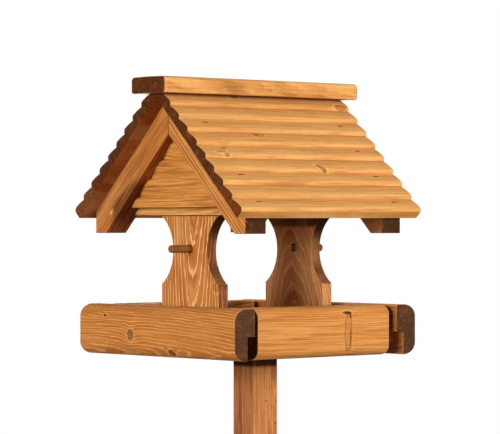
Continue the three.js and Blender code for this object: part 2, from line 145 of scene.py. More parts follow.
class TimberColours(bpy.types.PropertyGroup):
    """Colours of the stained timber and of the metal."""

    base: colour_property("Stain", "#c0793a", "Early wood, which takes most of the stain")
    late: colour_property("Late wood", "#e6ad63", "Late wood, which stays pale")
    amber: colour_property("Amber", "#c87f33", "Streaks that took a warmer stain")
    deep: colour_property("Deep stain", "#7d4420", "Fibres that hold the most stain")
    end_grain: colour_property("End grain", "#4a2f22", "Sawn ends, which soak up the stain")
    worn: colour_property("Worn edge", "#edba78", "Arrises rubbed pale")
    dowel: colour_property("Dowel", "#7a4a28", "Perch pegs")
    stand: colour_property("Stand stain", "#b0693a", "Post and feet")
    zinc: colour_property("Zinc", "#b9bcc0", "Bolts, nuts and screws")
    rust: colour_property("Staple", "#33221a", "Staples")


class StudioSettings(bpy.types.PropertyGroup):
    """Camera, lights and floor."""

    bearing: angle_property("Bearing", -42, "Turn of the camera's aim from +Y")
    distance: length_property("Distance", 4326.8, "From the camera to the middle of the roof")
    sidestep: length_property("Sidestep", 4.3, "Of the camera to the right of that middle")
    eye_height: length_property("Eye height", 1234, "Of the camera above the ground")
    lens: FloatProperty(name="Lens", description="Focal length", default=196.85,
                        subtype="DISTANCE_CAMERA")
    floor_radius: length_property("Floor radius", 14000, "Of the floor disc")
    lamp_height: length_property("Lamp aim", 1250, "Height that the lamps are aimed at")
    lamp_distance: length_property("Lamp distance", 3200, "From each lamp to its aim")
    key_power: power_property("Key power", 16, "Of the right lamp")
    fill_power: power_property("Fill power", 14.3, "Of the left lamp")
    rear_power: power_property("Rear power", 15, "Of the lamp behind")
    ambient: FloatProperty(name="Ambient", description="Strength of the surroundings' light",
                           default=0.10)


# Looks: what differs from the wood function's own values, which its docstring explains. Lengths
# of knots, stains, painted shadows and painted shades are millimetres, and tints are factors of a
# linear colour.

# Painted shade: tints that darken faces turned away from the lamps, or tucked under and inside other
# parts, by the way they face
SHADE_BELOW = (0.54, 0.33, 0.29)
SOFFIT_SHADE = (0.97, 0.93, 1.1)
INSIDE_SHADE = (0.42, 0.32, 0.30)
# painted shade on the cut face under each eave nose
EAVE_CUT_SHADE = (0.82, 0.72, 0.60)
# painted shade on the undersides of the left roof boards, its hue differing a little from board to
# board
BOARD_UNDERSIDE_SHADES = {"roof_board_left_1": (0.49, 0.23, 0.13), "roof_board_left_2": (0.65, 0.41, 0.23),
              "roof_board_left_3": (0.82, 0.56, 0.34), "roof_board_left_4": (0.62, 0.34, 0.21)}
# painted shadow of the tray on the top of the post
POST_SHADOW_TINT = (0.09, 0.055, 0.045)

# Painted shades, and the places where two of them start
BENEATH = (DOWN, SHADE_BELOW, None)
RAIL_BENEATH = (DOWN, SHADE_BELOW, None, 0.96, 0.999)
EAVE_SHADE = 164  # where the painted shadow of the eave starts, above the foot of the back pillar
# painted shade that darkens the post's front face
POST_FRONT_SHADE = (FRONT, (0.90, 0.84, 0.90), None)
POST_SHADE = 20  # how far the painted shadow of the tray reaches down the post

SEEDS = {"roof_board": 7, "ridge_cap": 2, "rafter": 11, "gable_board": 23, "tie": 31, "pillar": 41,
         "perch": 51, "end_rail": 61, "side_rail": 71, "floor_board": 81, "under_floor": 91,
         "post": 101, "foot": 111, "brace": 121}
GROUP_LOOKS = {
    "roof_board": {"spacing": 2.6, "pith": (0.03, -0.045), "contrast": 0.22, "fibre": 0.38,
                   "streak": 0.45, "wave": 0.7, "blotch": 0.5, "lines": 0.22, "end": "#5b2e12",
                   "tone": (1.06, 1.12, 1.24), "sawn": (0.08, 0.35)},
    "ridge_cap": {"spacing": 1.9, "pith": (0.004, -0.09), "contrast": 0.35, "fibre": 0.6,
                  "wave": 0.35, "saw": 0.35, "blotch": 0.35, "end": "#613315"},
    "rafter": {"spacing": 3.6, "pith": (0.11, -0.05), "contrast": 0.75, "fibre": 0.9, "wave": 0.5,
               "streak": 0.6, "lines": 0.6, "end": "#472b18"},
    "gable_board": {"spacing": 3.4, "pith": (0.03, -0.05), "contrast": 0.45, "fibre": 0.6,
                    "wave": 1.2, "streak": 0.8, "tone": (0.95, 0.86, 0.70), "wear": 0.0},
    "tie": {"spacing": 2.6, "contrast": 0.35, "wave": 0.5},
    "pillar": {"sawn": (0.15, 0.55), "end": "#8d5a36"},
    "perch": {"spacing": 1.3, "pith": (0.0, -0.02), "contrast": 0.3, "fibre": 0.6, "wear": 0.2,
              "late": "#9a6236", "end": "#94643c"},
    "tray_rail": {"spacing": 3.0, "pith": (0.03, -0.055), "tilt": (0.03, 0.05)},
    "floor_board": {"spacing": 4.5, "pith": (0.03, -0.05), "tilt": (0.02, 0.05)},
    "under_floor": {"tone": (0.8, 0.75, 0.7)},
    "stand": {"spacing": 2.4, "contrast": 0.3, "fibre": 1.0, "blotch": 1.0, "wear": 0.1,
              "late": "#cf8f55", "end": "#5c3a25"},
}
NODE_LOOKS = {
    "roof_board_left_1": {"end": "#794827"},
    "roof_board_right_1": {"end": "#763b14"},
    "roof_board_right_2": {"knots": ((17, -36, 5.5, 6.5, 0.8, "#a2592a", 0.75),
                                     (43.2, -13.2, 1.6, 1.0, 1.0, "#2a140a"))},
    "roof_board_right_3": {"knots": ((-66, -53, 11, 5, 0.35, "#8a4a20"),
                                     (-69.5, -52.2, 5, 1.3, 1.0, "#2a140a"),
                                     (-150.3, -24.3, 6, 3.5, 0.35, "#d29a55"),
                                     (-162, -4.6, 4.6, 3.2, 0.6, "#9a5022"),
                                     (-171, -11, 9, 1.5, 0.7, "#6a3a18"))},
    "roof_board_right_5": {"tone": (0.98, 1.0, 1.08),
                           "knots": ((-62.6, -24.2, 7, 5, 0.6, "#7a3c1c"),
                                     (155, -5.5, 11, 4.5, 0.55, "#a8642e"),
                                     (-163, -27, 6, 1.6, 0.9, "#4a2412"))},
    "rafter_front_left": {"tone": (0.76, 0.60, 0.47), "early": 0.5, "contrast": 1.0, "fibre": 0.7,
                          "spacing": 3.0, "stains_and_shadows": ((166, -21, 46, 17, (0.30, 0.25, 0.28)),
                                                     (186, -8, 18, 8, (0.6, 0.53, 0.54)),
                                                     (202.5, -8, 6.5, 3.2, (2.3, 3.6, 4.2)))},
    "rafter_front_right": {"tone": (0.88, 0.76, 0.7), "early": 0.4, "contrast": 1.0, "fibre": 0.6,
                           "spacing": 5.0},
    # the back rafters' tone is darkened as painted shade, for the roof's shadow over them
    "rafter_back_right": {"tone": (0.58, 0.38, 0.28)},
    "rafter_back_left": {"tone": (0.58, 0.38, 0.28)},
    "pillar_front": {"base": "#b46c31", "late": "#f6c680", "spacing": 5.6, "early": 0.66,
                     "pith": (0.006, -0.036), "tilt": (0.02, 0.10), "jag": 1.5, "streak": 0.15,
                     "lines": 0.3, "contrast": 1.3, "wave": 0.6, "fibre": 0.4,
                     "tone": (0.96, 0.83, 0.75), "knots": ((72, 61, 8, 6, 0.3, "#8a4a20"),),
                     # painted shade on the hollow sides, partly the deeper stain of their cross-cut
                     # grain, and painted shade under them
                     "shades": ((LEFT, (0.34, 0.27, 0.25), None),
                                (RIGHT, (0.40, 0.36, 0.42), None),
                                (DOWN, (0.35, 0.30, 0.28), None, 0.2, 0.7))},
    "pillar_back": {"base": "#b8804e", "spacing": 4.2, "early": 0.65, "pith": (0.0, -0.05),
                    "tilt": (-0.03, -0.14), "jag": 0.8, "streak": 0.2, "contrast": 1.2,
                    "fibre": 0.5, "tone": (0.96, 0.9, 0.98),
                    # painted shadow of the front pillar over the middle of the front face
                    "stains_and_shadows": ((40, -14, 75, 44, (0.84, 0.76, 0.72)),),
                    # painted shade on the hollow sides, partly the deeper stain of their cross-cut
                    # grain; painted shade under them; painted shadow of the eave on the front face
                    "shades": ((LEFT, (0.4, 0.34, 0.3), 76), (RIGHT, (0.52, 0.45, 0.42), 76),
                               (DOWN, (0.22, 0.18, 0.16), None, 0.2, 0.7),
                               (FRONT, (0.16, 0.14, 0.15), EAVE_SHADE))},
    "tray_rail_front": {"spacing": 4.8, "pith": (-0.045, -0.035), "tilt": (0.05, 0.03),
                        "early": 0.6, "contrast": 1.0, "wave": 1.1, "jag": 1.2, "fibre": 0.4,
                        "lines": 0.35, "tone": (0.93, 0.84, 0.78), "end": "#583a27",
                        "shades": (RAIL_BENEATH, (BACK, INSIDE_SHADE, None)),
                        "knots": ((59.5, 32.7, 6.4, 7.8, 0.9, "#a07a4e", 0, 0.5),
                                  (121.5, 62.1, 3.6, 1.7, 1.0, "#4a2412"),
                                  (109.8, 17.1, 1.8, 1.2, 0.9, "#4a2412"),
                                  (-35.9, 8.2, 6, 4.5, 0.85, "#6e4426"))},
    "tray_rail_back": {"end": "#50341f",
                       # painted shade on the back rail's inner face
                       "shades": (RAIL_BENEATH, (FRONT, (0.62, 0.47, 0.46), None))},
    "tray_rail_left": {"shades": (RAIL_BENEATH, (RIGHT, INSIDE_SHADE, None))},
    "tray_rail_right": {"spacing": 2.8, "pith": (0.12, -0.05), "tilt": (0.0, 0.02),
                        "contrast": 0.35, "wave": 0.3, "fibre": 0.5, "fine": 0.8, "lines": 0.45,
                        "jag": 0.3, "tone": (0.92, 0.84, 0.76),
                        "shades": (RAIL_BENEATH, (LEFT, INSIDE_SHADE, None)),
                        "knots": ((31, 68.0, 8.6, 2.0, 1.0, "#3f1c0c", 0, 0.5),
                                  (33.0, 38.7, 7.2, 27.8, 0.55, "#d69250", 0, 0.2),
                                  (37.6, 64.2, 1.6, 4.6, 1.0, "#3f1c0c", 0, 0),
                                  (37.6, 31, 0.9, 14, 0.85, "#3a1c0c", 0.06, 0))},
    "post": {"knots": ((943.3, 0.3, 1.6, 1.2, 0.9, "#3a1c0c"),
                       (944.4, 11, 1.3, 1.2, 0.9, "#3a1c0c"),
                       (942.3, 21.7, 1.6, 1.0, 0.9, "#3a1c0c"),
                       (907.5, 19.6, 3.0, 1.2, 0.7, "#4a2412"))},
}


# Outlines

LEAST_MITRE = 0.35  # below which the offset of a sharp corner is held back
LEAST_LENGTH = 1e-9
LEAST_AREA = 1e-14  # of a triangle, as twice its size


def circle(count, way=1):
    """Points on the circle of radius 1, anticlockwise, or clockwise where the way is -1."""
    turn = way * np.linspace(0, 2 * math.pi, count + 1)[:-1]
    return np.stack([np.cos(turn), np.sin(turn)], 1)


def rounded(corners, steps=4):
    """A closed outline from corners (a, b, radius): each corner is an arc that touches both of
    its sides at radius / tan(half the angle) from the corner. Returns the points and, for each,
    1 where it lies on such an arc and 0 elsewhere."""
    corners = np.array([(*c, 0.0)[:3] for c in corners])
    points, worn = [], []
    for i, (a, b, radius) in enumerate(corners):
        corner = np.array([a, b])
        before = corners[i - 1, :2] - corner
        after = corners[(i + 1) % len(corners), :2] - corner
        room = min(np.linalg.norm(before), np.linalg.norm(after)) / 2
        before /= np.linalg.norm(before)
        after /= np.linalg.norm(after)
        half = math.acos(float(np.clip(before @ after, -1, 1))) / 2
        radius = min(radius, room * math.tan(half))
        if radius <= 0:
            points.append(corner[None])
            worn.append([0.0])
            continue
        reach = radius / math.tan(half)
        middle = corner + (before + after) / np.linalg.norm(before + after) * radius / math.sin(half)
        start, end = corner + before * reach - middle, corner + after * reach - middle
        sweep = math.pi - 2 * half
        turn = np.sign(start[0] * end[1] - start[1] * end[0]) * sweep * np.linspace(0, 1, steps + 1)
        cos, sin = np.cos(turn), np.sin(turn)
        arc = np.stack([start[0] * cos - start[1] * sin, start[0] * sin + start[1] * cos], 1)
        points.append(middle + arc)
        worn.append([1.0] * (steps + 1))
    return np.concatenate(points), np.concatenate(worn)


def mirrored(right):
    """Corners up the right side of an outline, and then down its left side."""
    return [*right, *((-a, b, radius) for a, b, radius in right[::-1])]


def edged(points, worn, fade):
    """Adds two points to each long side of an outline, at the fade distance from its ends, where
    the wear is nil again."""
    after = np.roll(points, -1, 0)
    length = np.linalg.norm(after - points, axis=1)
    loop, wear = [], []
    for point, following, size, value in zip(points, after, length, worn):
        loop.append(point)
        wear.append(value)
        if size > 3 * fade:
            share = fade / size
            loop += [point + (following - point) * share, following + (point - following) * share]
            wear += [0.0, 0.0]
    return np.array(loop), np.array(wear)


def sawn_outline(corners, sizes, steps=4):
    """An outline with rounded corners and the wear that fades beside each."""
    return edged(*rounded(corners, steps), sizes.fade)


def outward(loop):
    """The mitred outward offset of each point of an outline that runs anticlockwise: the sum of
    the normals of its two sides, over one plus their dot product."""
    side = np.roll(loop, -1, 0) - loop
    side /= np.maximum(np.linalg.norm(side, axis=1, keepdims=True), LEAST_LENGTH)
    normal = np.stack([side[:, 1], -side[:, 0]], 1)
    previous = np.roll(normal, 1, 0)
    return (previous + normal) / np.maximum(1 + (previous * normal).sum(1, keepdims=True), LEAST_MITRE)


def anticlockwise(loop, wear):
    """The outline turned round where it runs clockwise, which its signed area tells."""
    after = np.roll(loop, -1, 0)
    area = (loop[:, 0] * after[:, 1] - after[:, 0] * loop[:, 1]).sum()
    return (loop, wear) if area > 0 else (loop[::-1], wear[::-1])


# Meshes


def new_object(name, data):
    """An object that is linked to the scene."""
    thing = bpy.data.objects.new(name, data)
    bpy.context.scene.collection.objects.link(thing)
    return thing


def new_piece(name, points, faces, wear):
    """A mesh object of faces that point outwards, with an arris attribute and smooth shading
    weighted by area, so that flats stay flat."""
    mesh = bpy.data.meshes.new(name)
    mesh.from_pydata(points.tolist(), [], faces)
    mesh.validate()
    mesh.update()
    attribute = mesh.attributes.new("arris", "FLOAT", "POINT")
    attribute.data.foreach_set("value", np.asarray(wear, dtype=np.float32))
    mesh.polygons.foreach_set("use_smooth", np.ones(len(mesh.polygons), dtype=bool))
    piece = new_object(name, mesh)
    weighted = piece.modifiers.new("Weighted normals", "WEIGHTED_NORMAL")
    weighted.weight = 80
    weighted.keep_sharp = False
    return piece


def tube_faces(stations, count):
    """The faces between rings that follow one another, where point p of ring r is number
    r count + p."""
    ring = np.arange(count)
    following = np.roll(ring, -1)
    base = np.arange(stations - 1)[:, None] * count
    corners = (base + ring, base + following, base + count + following, base + count + ring)
    return np.stack(corners, 2).reshape(-1, 4)


def fill(rings):
    """Triangles that fill an outline and leave its holes open, all turned anticlockwise."""
    flat = np.concatenate([ring for ring, _ in rings])
    index = np.concatenate([np.arange(len(ring)) + first for ring, first in rings])
    polygons = [[Vector((*point, 0)) for point in ring] for ring, _ in rings]
    triangles = np.array(tessellate_polygon(polygons))
    a, b, c = (flat[triangles[:, corner]] for corner in range(3))
    area = (b[:, 0] - a[:, 0]) * (c[:, 1] - a[:, 1]) - (c[:, 0] - a[:, 0]) * (b[:, 1] - a[:, 1])
    triangles[area < 0] = triangles[area < 0][:, ::-1]
    return index[triangles[np.abs(area) > LEAST_AREA]]


END_FADE = 2.5 * MM  # over which the wear of an end fades
END_WEAR = 0.3
WELD_REACH = 0.01 * MM
DRESSED_ARRIS = 0.5 * MM  # bevelled on the nodes that keep their own mesh
SHARP = math.radians(40)  # the least angle of an edge that it rounds


def prism(name, outline, span, axes, origin, rounding, stations=2, holes=()):
    """An outline carried along a straight path. Point p of the outline runs along the third axis
    from start(p) to end(p), so a slanted cut is a linear function of p, and a cut that is square
    is a number. At both ends the outline draws in along a quarter circle: inset = radius
    (1 - sin t), travel = radius (1 - cos t). Each hole is a clockwise loop that is carried the
    same way."""
    first, second, third = (np.asarray(axis, dtype=float) for axis in axes)
    left_handed = np.dot(np.cross(first, second), third) < 0
    turn = np.linspace(0, math.pi / 2, 4)
    insets, travels = rounding * (1 - np.sin(turn)), rounding * (1 - np.cos(turn))
    middle = np.linspace(0, 1, stations + 1)[1:-1]
    outer, outer_wear = anticlockwise(*outline)
    loops = [(outer, outer_wear)] + [(hole, np.zeros(len(hole))) for hole in holes]
    points, wears, faces, caps = [], [], [], ([], [])
    first_index = 0
    for loop, wear in loops:
        inset_way = outward(loop)
        low, high = (cut(loop) if callable(cut) else np.full(len(loop), float(cut)) for cut in span)
        fade = min(END_FADE, float(np.min(high - low)) / 4)
        rings = [(loop - inset_way * inset, low + travel, END_WEAR)
                 for inset, travel in zip(insets, travels)]
        rings.append((loop, low + rounding + fade, 0.0))
        rings += [(loop, low + (high - low) * share, 0.0) for share in middle]
        rings.append((loop, high - rounding - fade, 0.0))
        rings += [(loop - inset_way * inset, high - travel, END_WEAR)
                  for inset, travel in zip(insets[::-1], travels[::-1])]
        points += [origin + flat[:, :1] * first + flat[:, 1:] * second + along[:, None] * third
                   for flat, along, _ in rings]
        wears += [np.maximum(wear, value) for _, _, value in rings]
        faces.append(first_index + tube_faces(len(rings), len(loop)))
        last = first_index + (len(rings) - 1) * len(loop)
        caps[0].append((rings[0][0], first_index))
        caps[1].append((rings[-1][0], last))
        first_index = last + len(loop)
    faces = np.concatenate(faces)
    triangles = [fill(caps[0])[:, ::-1], fill(caps[1])]
    if left_handed:
        faces = faces[:, ::-1]
        triangles = [group[:, ::-1] for group in triangles]
    faces = faces.tolist() + np.concatenate(triangles).tolist()
    return new_piece(name, np.concatenate(points), faces, np.concatenate(wears))


def bar_section(node, along, arris, rounding, sizes, steps=4, span=None):
    """What prism takes for a squared timber that fills its box along axis 0, 1 or 2, or whose
    ends are cut as the span says."""
    order = [(along + 1) % 3, (along + 2) % 3, along]
    (a0, b0, start), (a1, b1, end) = (np.asarray(corner)[order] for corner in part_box(node))
    corners = [(a0, b0, arris), (a1, b0, arris), (a1, b1, arris), (a0, b1, arris)]
    outline = sawn_outline(corners, sizes, steps)
    return outline, span or (start, end), np.eye(3)[order], ORIGIN, rounding, 4


def make_timber(node, section, grain, seed, group, kind="timber", **look):
    """Makes the timber that stands for a node. The section goes to prism and the grain to wood,
    with the look given here, its group's look and its own."""
    look = {**look, **GROUP_LOOKS[group], **NODE_LOOKS.get(node, {})}
    piece = prism(f"{node}_{kind}", *section)
    piece.data.materials.append(wood(f"{node}_wood", *grain, seed, **look))
    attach(piece, BODY)
    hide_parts(node)


def dress_node(node, material):
    """Gives a node of the frame its material. Its loose triangles are joined for shading."""
    thing = frame["nodes"][node]
    thing.data.materials.clear()
    thing.data.materials.append(material)
    weld = thing.modifiers.new("Weld", "WELD")
    weld.merge_threshold = WELD_REACH
    bevel = thing.modifiers.new("Bevel", "BEVEL")
    bevel.width = DRESSED_ARRIS
    bevel.segments = 2
    bevel.limit_method = "ANGLE"
    bevel.angle_limit = SHARP


# Materials

KNOT_RIM = linear("#2c170c")
END_SOOT = linear("#1c0f09")
END_PALE = linear("#94562c")
DULL_ZINC = linear("#6d6a66")
SHADE_EDGE = 3  # millimetres to either side of a shade's start, over which it sets in
SHADE_LIMITS = (0.70, 0.95)  # its low and high cosines, where it gives none
SEED_STEPS = (1.37, 2.11, 0.73)  # metres by which a seed of 1 moves the patterns


class Value:
    """A number, colour or vector that varies over a surface. Arithmetic adds Math nodes."""

    def __init__(self, nodes, socket):
        self.nodes = nodes
        self.socket = socket

    def math(self, operation, *others):
        inputs = dict(enumerate((self, *others)))
        return self.nodes.node("ShaderNodeMath", {"operation": operation}, inputs)

    def __add__(self, other):
        return self.math("ADD", other)

    __radd__ = __add__

    def __mul__(self, other):
        return self.math("MULTIPLY", other)

    __rmul__ = __mul__

    def __sub__(self, other):
        return self.math("SUBTRACT", other)

    def __rsub__(self, other):
        return self.nodes.node("ShaderNodeMath", {"operation": "SUBTRACT"}, {0: other, 1: self})

    def __truediv__(self, other):
        return self.math("DIVIDE", other)


class Nodes:
    """The node tree of a new material or world."""

    def __init__(self, owner):
        owner.use_nodes = True
        self.owner = owner
        self.tree = owner.node_tree
        self.tree.nodes.clear()

    def node(self, kind, choices=None, inputs=None, output=0):
        """Adds a node: its choices first, then the values or links of its sockets. Returns the
        output that is named, a list where several are, or the node where it has none."""
        node = self.tree.nodes.new(kind)
        for key, value in (choices or {}).items():
            setattr(node, key, value)
        for key, value in (inputs or {}).items():
            if isinstance(value, Value):
                self.tree.links.new(value.socket, node.inputs[key])
            else:
                node.inputs[key].default_value = value
        if isinstance(output, tuple):
            return [Value(self, node.outputs[key]) for key in output]
        return Value(self, node.outputs[output]) if node.outputs else node

    def place(self):
        """Where a point of the surface lies, in the object's own measures."""
        return self.node("ShaderNodeTexCoord", output=3)

    def mix(self, first, second, factor):
        """A blend of two colours."""
        choices = {"data_type": "RGBA", "clamp_factor": True}
        return self.node("ShaderNodeMix", choices, {0: factor, 6: first, 7: second}, 2)

    def vector(self, operation, first, second, output=0):
        """Two vectors or colours put together by a Vector Math node."""
        choices = {"operation": operation}
        return self.node("ShaderNodeVectorMath", choices, {0: first, 1: second}, output)

    def tinted(self, colour, tint, gain=1.0):
        """A colour times a fixed tint, and times a gain."""
        product = self.vector("MULTIPLY", colour, tuple(tint))
        return self.node("ShaderNodeVectorMath", {"operation": "SCALE"}, {0: product, 3: gain})

    def facing(self, normal, way):
        """The cosine between a surface's normal and a direction."""
        return self.vector("DOT_PRODUCT", normal, tuple(Vector(way).normalized()), 1)

    def noise(self, place, scales, detail=1.0, roughness=0.5):
        """Noise from 0 to 1, with scales along the grain, across the face and out of it."""
        inputs = {"Vector": self.vector("MULTIPLY", place, scales), "Scale": 1.0,
                  "Detail": detail, "Roughness": roughness}
        return self.node("ShaderNodeTexNoise", {"noise_dimensions": "3D"}, inputs)

    def smooth(self, value, low, high, first=0.0, second=1.0):
        """Goes from first to second as the value goes from low to high, gently at both ends."""
        inputs = {"Value": value, "From Min": low, "From Max": high,
                  "To Min": first, "To Max": second}
        return self.node("ShaderNodeMapRange", {"interpolation_type": "SMOOTHSTEP"}, inputs)

    def band(self, value, low, full, wane, end):
        """Rises from 0 to 1 between low and full, and falls to 0 again between wane and end."""
        return self.smooth(value, low, full) * self.smooth(value, wane, end, 1.0, 0.0)

    def bump(self, height, strength, distance):
        """A normal bent by a height."""
        inputs = {"Strength": strength, "Distance": distance, "Height": height}
        return self.node("ShaderNodeBump", inputs=inputs)

    def sight(self):
        """1 where the camera, a reflection or a clear thing looks, and 0 for any other light."""
        kinds = ("Is Camera Ray", "Is Glossy Ray", "Is Transmission Ray")
        camera, glossy, clear = self.node("ShaderNodeLightPath", output=kinds)
        return camera.math("MAXIMUM", glossy).math("MAXIMUM", clear)

    def surface(self, inputs):
        """Ends the material with a Principled shader."""
        shader = self.node("ShaderNodeBsdfPrincipled", inputs=inputs)
        self.node("ShaderNodeOutputMaterial", inputs={"Surface": shader})
        return self.owner


def grain_frame(along, across, origin):
    """Rotation and shift that turn a place on the object into the timber's own measures: along
    the grain, across the face and out of the face."""
    along = Vector(along).normalized()
    across = Vector(across)
    across = (across - along * across.dot(along)).normalized()
    turn = Matrix((along, across, along.cross(across)))
    return turn, -(turn @ Vector(origin))


def paint(choice, usual):
    """A colour given as #rrggbb or as a setting, or the usual one where none is given."""
    return linear(choice) if isinstance(choice, str) else tuple(choice or usual)


def wood(name, along, across, origin, seed, spacing=3.2, pith=(0.02, -0.06), tilt=(0.0, 0.02),
         early=0.30, contrast=0.6, fibre=0.5, streak=0.5, blotch=0.5, wave=1.0, jag=0.5, wear=0.5,
         saw=0.0, fine=1.0, lines=0.5, knots=(), stains_and_shadows=(), tone=(1, 1, 1),
         shades=(BENEATH,), base=None, late=None, end=None, sawn=(0.40, 0.65)):
    """Stained softwood. The growth rings are circles round a pith line that runs beside the
    timber, at the pith's place plus the tilt times the length, bent by noise and lifted round
    each knot, so faces show lines and arches and sawn ends show arcs. Early wood is dark with
    stain and late wood pale, and fibres, streaks, blotches, worn arrises and knots lie over them.
    A knot is (along, across, half length, half width, strength, heart, slant, bulge), in
    millimetres: the slant moves its place along for each millimetre across, and the bulge scales
    how far it lifts the rings and how pale they turn round it. A stain or painted shadow is
    (along, across, half length, half width, tint) and deepens or pales the grain with a soft edge.
    A shade is (direction, tint, start, low, high): faces turned that way, from the start on in
    millimetres along the grain, take its tint as painted shade, for the shade and shadow that fall
    on them; on the pillars' hollow sides it is partly also the deeper stain of cross-cut grain.
    Low and high are the cosines between which it sets in, and may be left out."""
    colours = bpy.context.scene.bird_table_colours
    nodes = Nodes(bpy.data.materials.new(name))
    turn, shift = grain_frame(along, across, origin)
    inputs = {"Vector": nodes.place(), "Location": shift, "Rotation": turn.to_euler()}
    local = nodes.node("ShaderNodeMapping", {"vector_type": "POINT"}, inputs)
    length, width, depth = nodes.node("ShaderNodeSeparateXYZ", inputs={0: local}, output=(0, 1, 2))
    seeded = nodes.vector("ADD", local, tuple(seed * step for step in SEED_STEPS))

    def marked(at, over, half_length, half_width, slant=0):
        """Squared distance from the middle of a mark, which is 1 on its edge."""
        reach, spread = length - at * MM, width - over * MM
        if slant:
            reach = reach - spread * slant
        reach, spread = reach / (half_length * MM), spread / (half_width * MM)
        return reach * reach + spread * spread

    # Growth rings
    broad = nodes.noise(seeded, (2.2, 9.0, 9.0)) - 0.5
    middling = nodes.noise(seeded, (17.0, 60.0, 60.0)) - 0.5
    fingers = nodes.noise(seeded, (28.0, 260.0, 260.0)) - 0.5
    bend = broad * (0.020 * wave) + middling * (0.0045 * wave)
    side = width - pith[0] - length * tilt[0] + bend
    rest = depth - pith[1] - length * tilt[1] + bend * 0.6
    radius = (side * side + rest * rest).math("SQRT") + fingers * (0.0022 * jag)
    masks = []
    for at, over, half_length, half_width, strength, heart, *more in knots:
        slant, bulge = (*more, *(0, 1)[len(more):])
        nearness = marked(at, over, half_length, half_width, slant)
        rough_edge = nearness + middling * 1.2 + fingers * 0.9
        lift = (nearness * -0.22).math("EXPONENT")
        size = min(half_length, half_width) * MM * bulge
        radius = radius + lift * (size * (0.4 + 1.4 * strength))
        masks.append((nearness, rough_edge, strength, heart, bulge))
    phase = (radius / (spacing * MM) + broad * 1.5).math("FRACT")
    late_wood = nodes.band(phase, early, 0.88, 0.90, 0.99)

    # Finer patterns, as noise that is drawn out along the grain
    fibres = nodes.noise(seeded, (13.0 * fine * fine, 300.0 * fine, 300.0 * fine), 3.0, 0.68)
    pores = nodes.noise(seeded, (130.0, 1900.0, 1900.0))
    bands = nodes.noise(seeded, (4.0, 85.0, 85.0), 2.0, 0.55)
    patches = nodes.noise(seeded, (6.0, 20.0, 20.0), 3.0, 0.6)
    grit = nodes.noise(seeded, (330.0, 520.0, 520.0), 2.0, 0.7)
    thread = nodes.node("ShaderNodeCombineXYZ", inputs={0: length + seed / 7, 1: radius, 2: rest})
    threads = nodes.noise(thread, (7.0, 620.0, 30.0), 2.0, 0.6)

    # Layers of stain
    late_colour = paint(late, colours.late)
    deep = tuple(colours.deep)
    plain = late_wood * contrast + (1 - contrast) * 0.40
    colour = nodes.mix(paint(base, colours.base), late_colour, plain)
    for tint, pattern, low, high, share in (
            (tuple(colours.amber), bands, 0.50, 0.70, streak * 0.8),
            (late_colour, bands, 0.46, 0.30, streak * 0.6),
            (deep, fibres, 0.48, 0.70, fibre * 0.85),
            (late_colour, fibres, 0.48, 0.30, fibre * 0.7),
            (deep, pores, 0.55, 0.75, fibre * 0.6),
            (deep, threads, 0.53, 0.66, lines),
            (late_colour, threads, 0.46, 0.34, lines * 0.8),
            (deep, patches, 0.50, 0.78, blotch * 0.45),
            (late_colour, patches, 0.45, 0.25, blotch * 0.4)):
        colour = nodes.mix(colour, tint, nodes.smooth(pattern, low, high) * share)
    relief = late_wood * 0.5 + fibres * 0.8 + pores * 0.35

    # Knots and stains
    for nearness, rough_edge, strength, heart, bulge in masks:
        inside = nodes.smooth(rough_edge, 0.75, 1.15, 1.0, 0.0)
        circles = (nearness.math("SQRT") * 4.0 + fibres * 1.5).math("FRACT")
        dark = circles * 0.5 + nodes.smooth(fibres, 0.4, 0.7) * 0.4
        core = nodes.mix(linear(heart), deep, dark)
        halo = nodes.band(rough_edge, 1.2, 2.0, 2.6, 4.5)
        rim = nodes.band(rough_edge, 0.55, 0.95, 1.05, 1.6)
        colour = nodes.mix(colour, late_colour, halo * (0.55 * strength * bulge))
        colour = nodes.mix(colour, core, inside * strength)
        colour = nodes.mix(colour, KNOT_RIM, rim * (0.6 * strength))
        relief = relief + inside * 0.8 - rim * 0.9
    for *mark, tint in stains_and_shadows:
        nearness = marked(*mark) + (fibres - 0.5) * 1.2
        share = nodes.smooth(nearness, 0.3, 1.5, 1.0, 0.0)
        share = share * nodes.smooth(threads, 0.35, 0.58, 0.55, 1.0)
        colour = nodes.mix(colour, nodes.tinted(colour, tint), share)
    gain = 0.74 + grit * 0.30 + patches * 0.22
    if saw:
        gain = gain + (nodes.noise(seeded, (480.0, 40.0, 40.0), 2.0, 0.6) - 0.5) * saw
    colour = nodes.tinted(colour, tone, gain)

    # Sawn ends, painted shade on faces by the way they face, and worn arrises
    normal = nodes.node("ShaderNodeNewGeometry", output=1)
    ends = nodes.smooth(nodes.facing(normal, along).math("ABSOLUTE"), *sawn)
    soaked = paint(end, colours.end_grain)
    for tint, share in ((END_SOOT, nodes.smooth(grit, 0.40, 0.66) * 0.75),
                        (END_PALE, late_wood * nodes.smooth(patches, 0.35, 0.60) * 0.2),
                        (END_PALE, nodes.smooth(bands, 0.52, 0.68) * 0.25)):
        soaked = nodes.mix(soaked, tint, share)
    colour = nodes.mix(colour, soaked, ends)
    # painted shade: each face turned a shade's way takes its tint, from its start on
    for way, tint, start, *limits in shades:
        turned = nodes.smooth(nodes.facing(normal, way), *(limits or SHADE_LIMITS))
        if start is not None:
            reach = (start - SHADE_EDGE) * MM, (start + SHADE_EDGE) * MM
            turned = turned * nodes.smooth(length, *reach)
        colour = nodes.mix(colour, nodes.tinted(colour, tint), turned)
    edge = nodes.node("ShaderNodeAttribute", {"attribute_name": "arris"}, output=2)
    rubbed = edge * nodes.smooth(patches, 0.38, 0.66) * (1 - ends) * wear
    colour = nodes.mix(colour, tuple(colours.worn), rubbed)

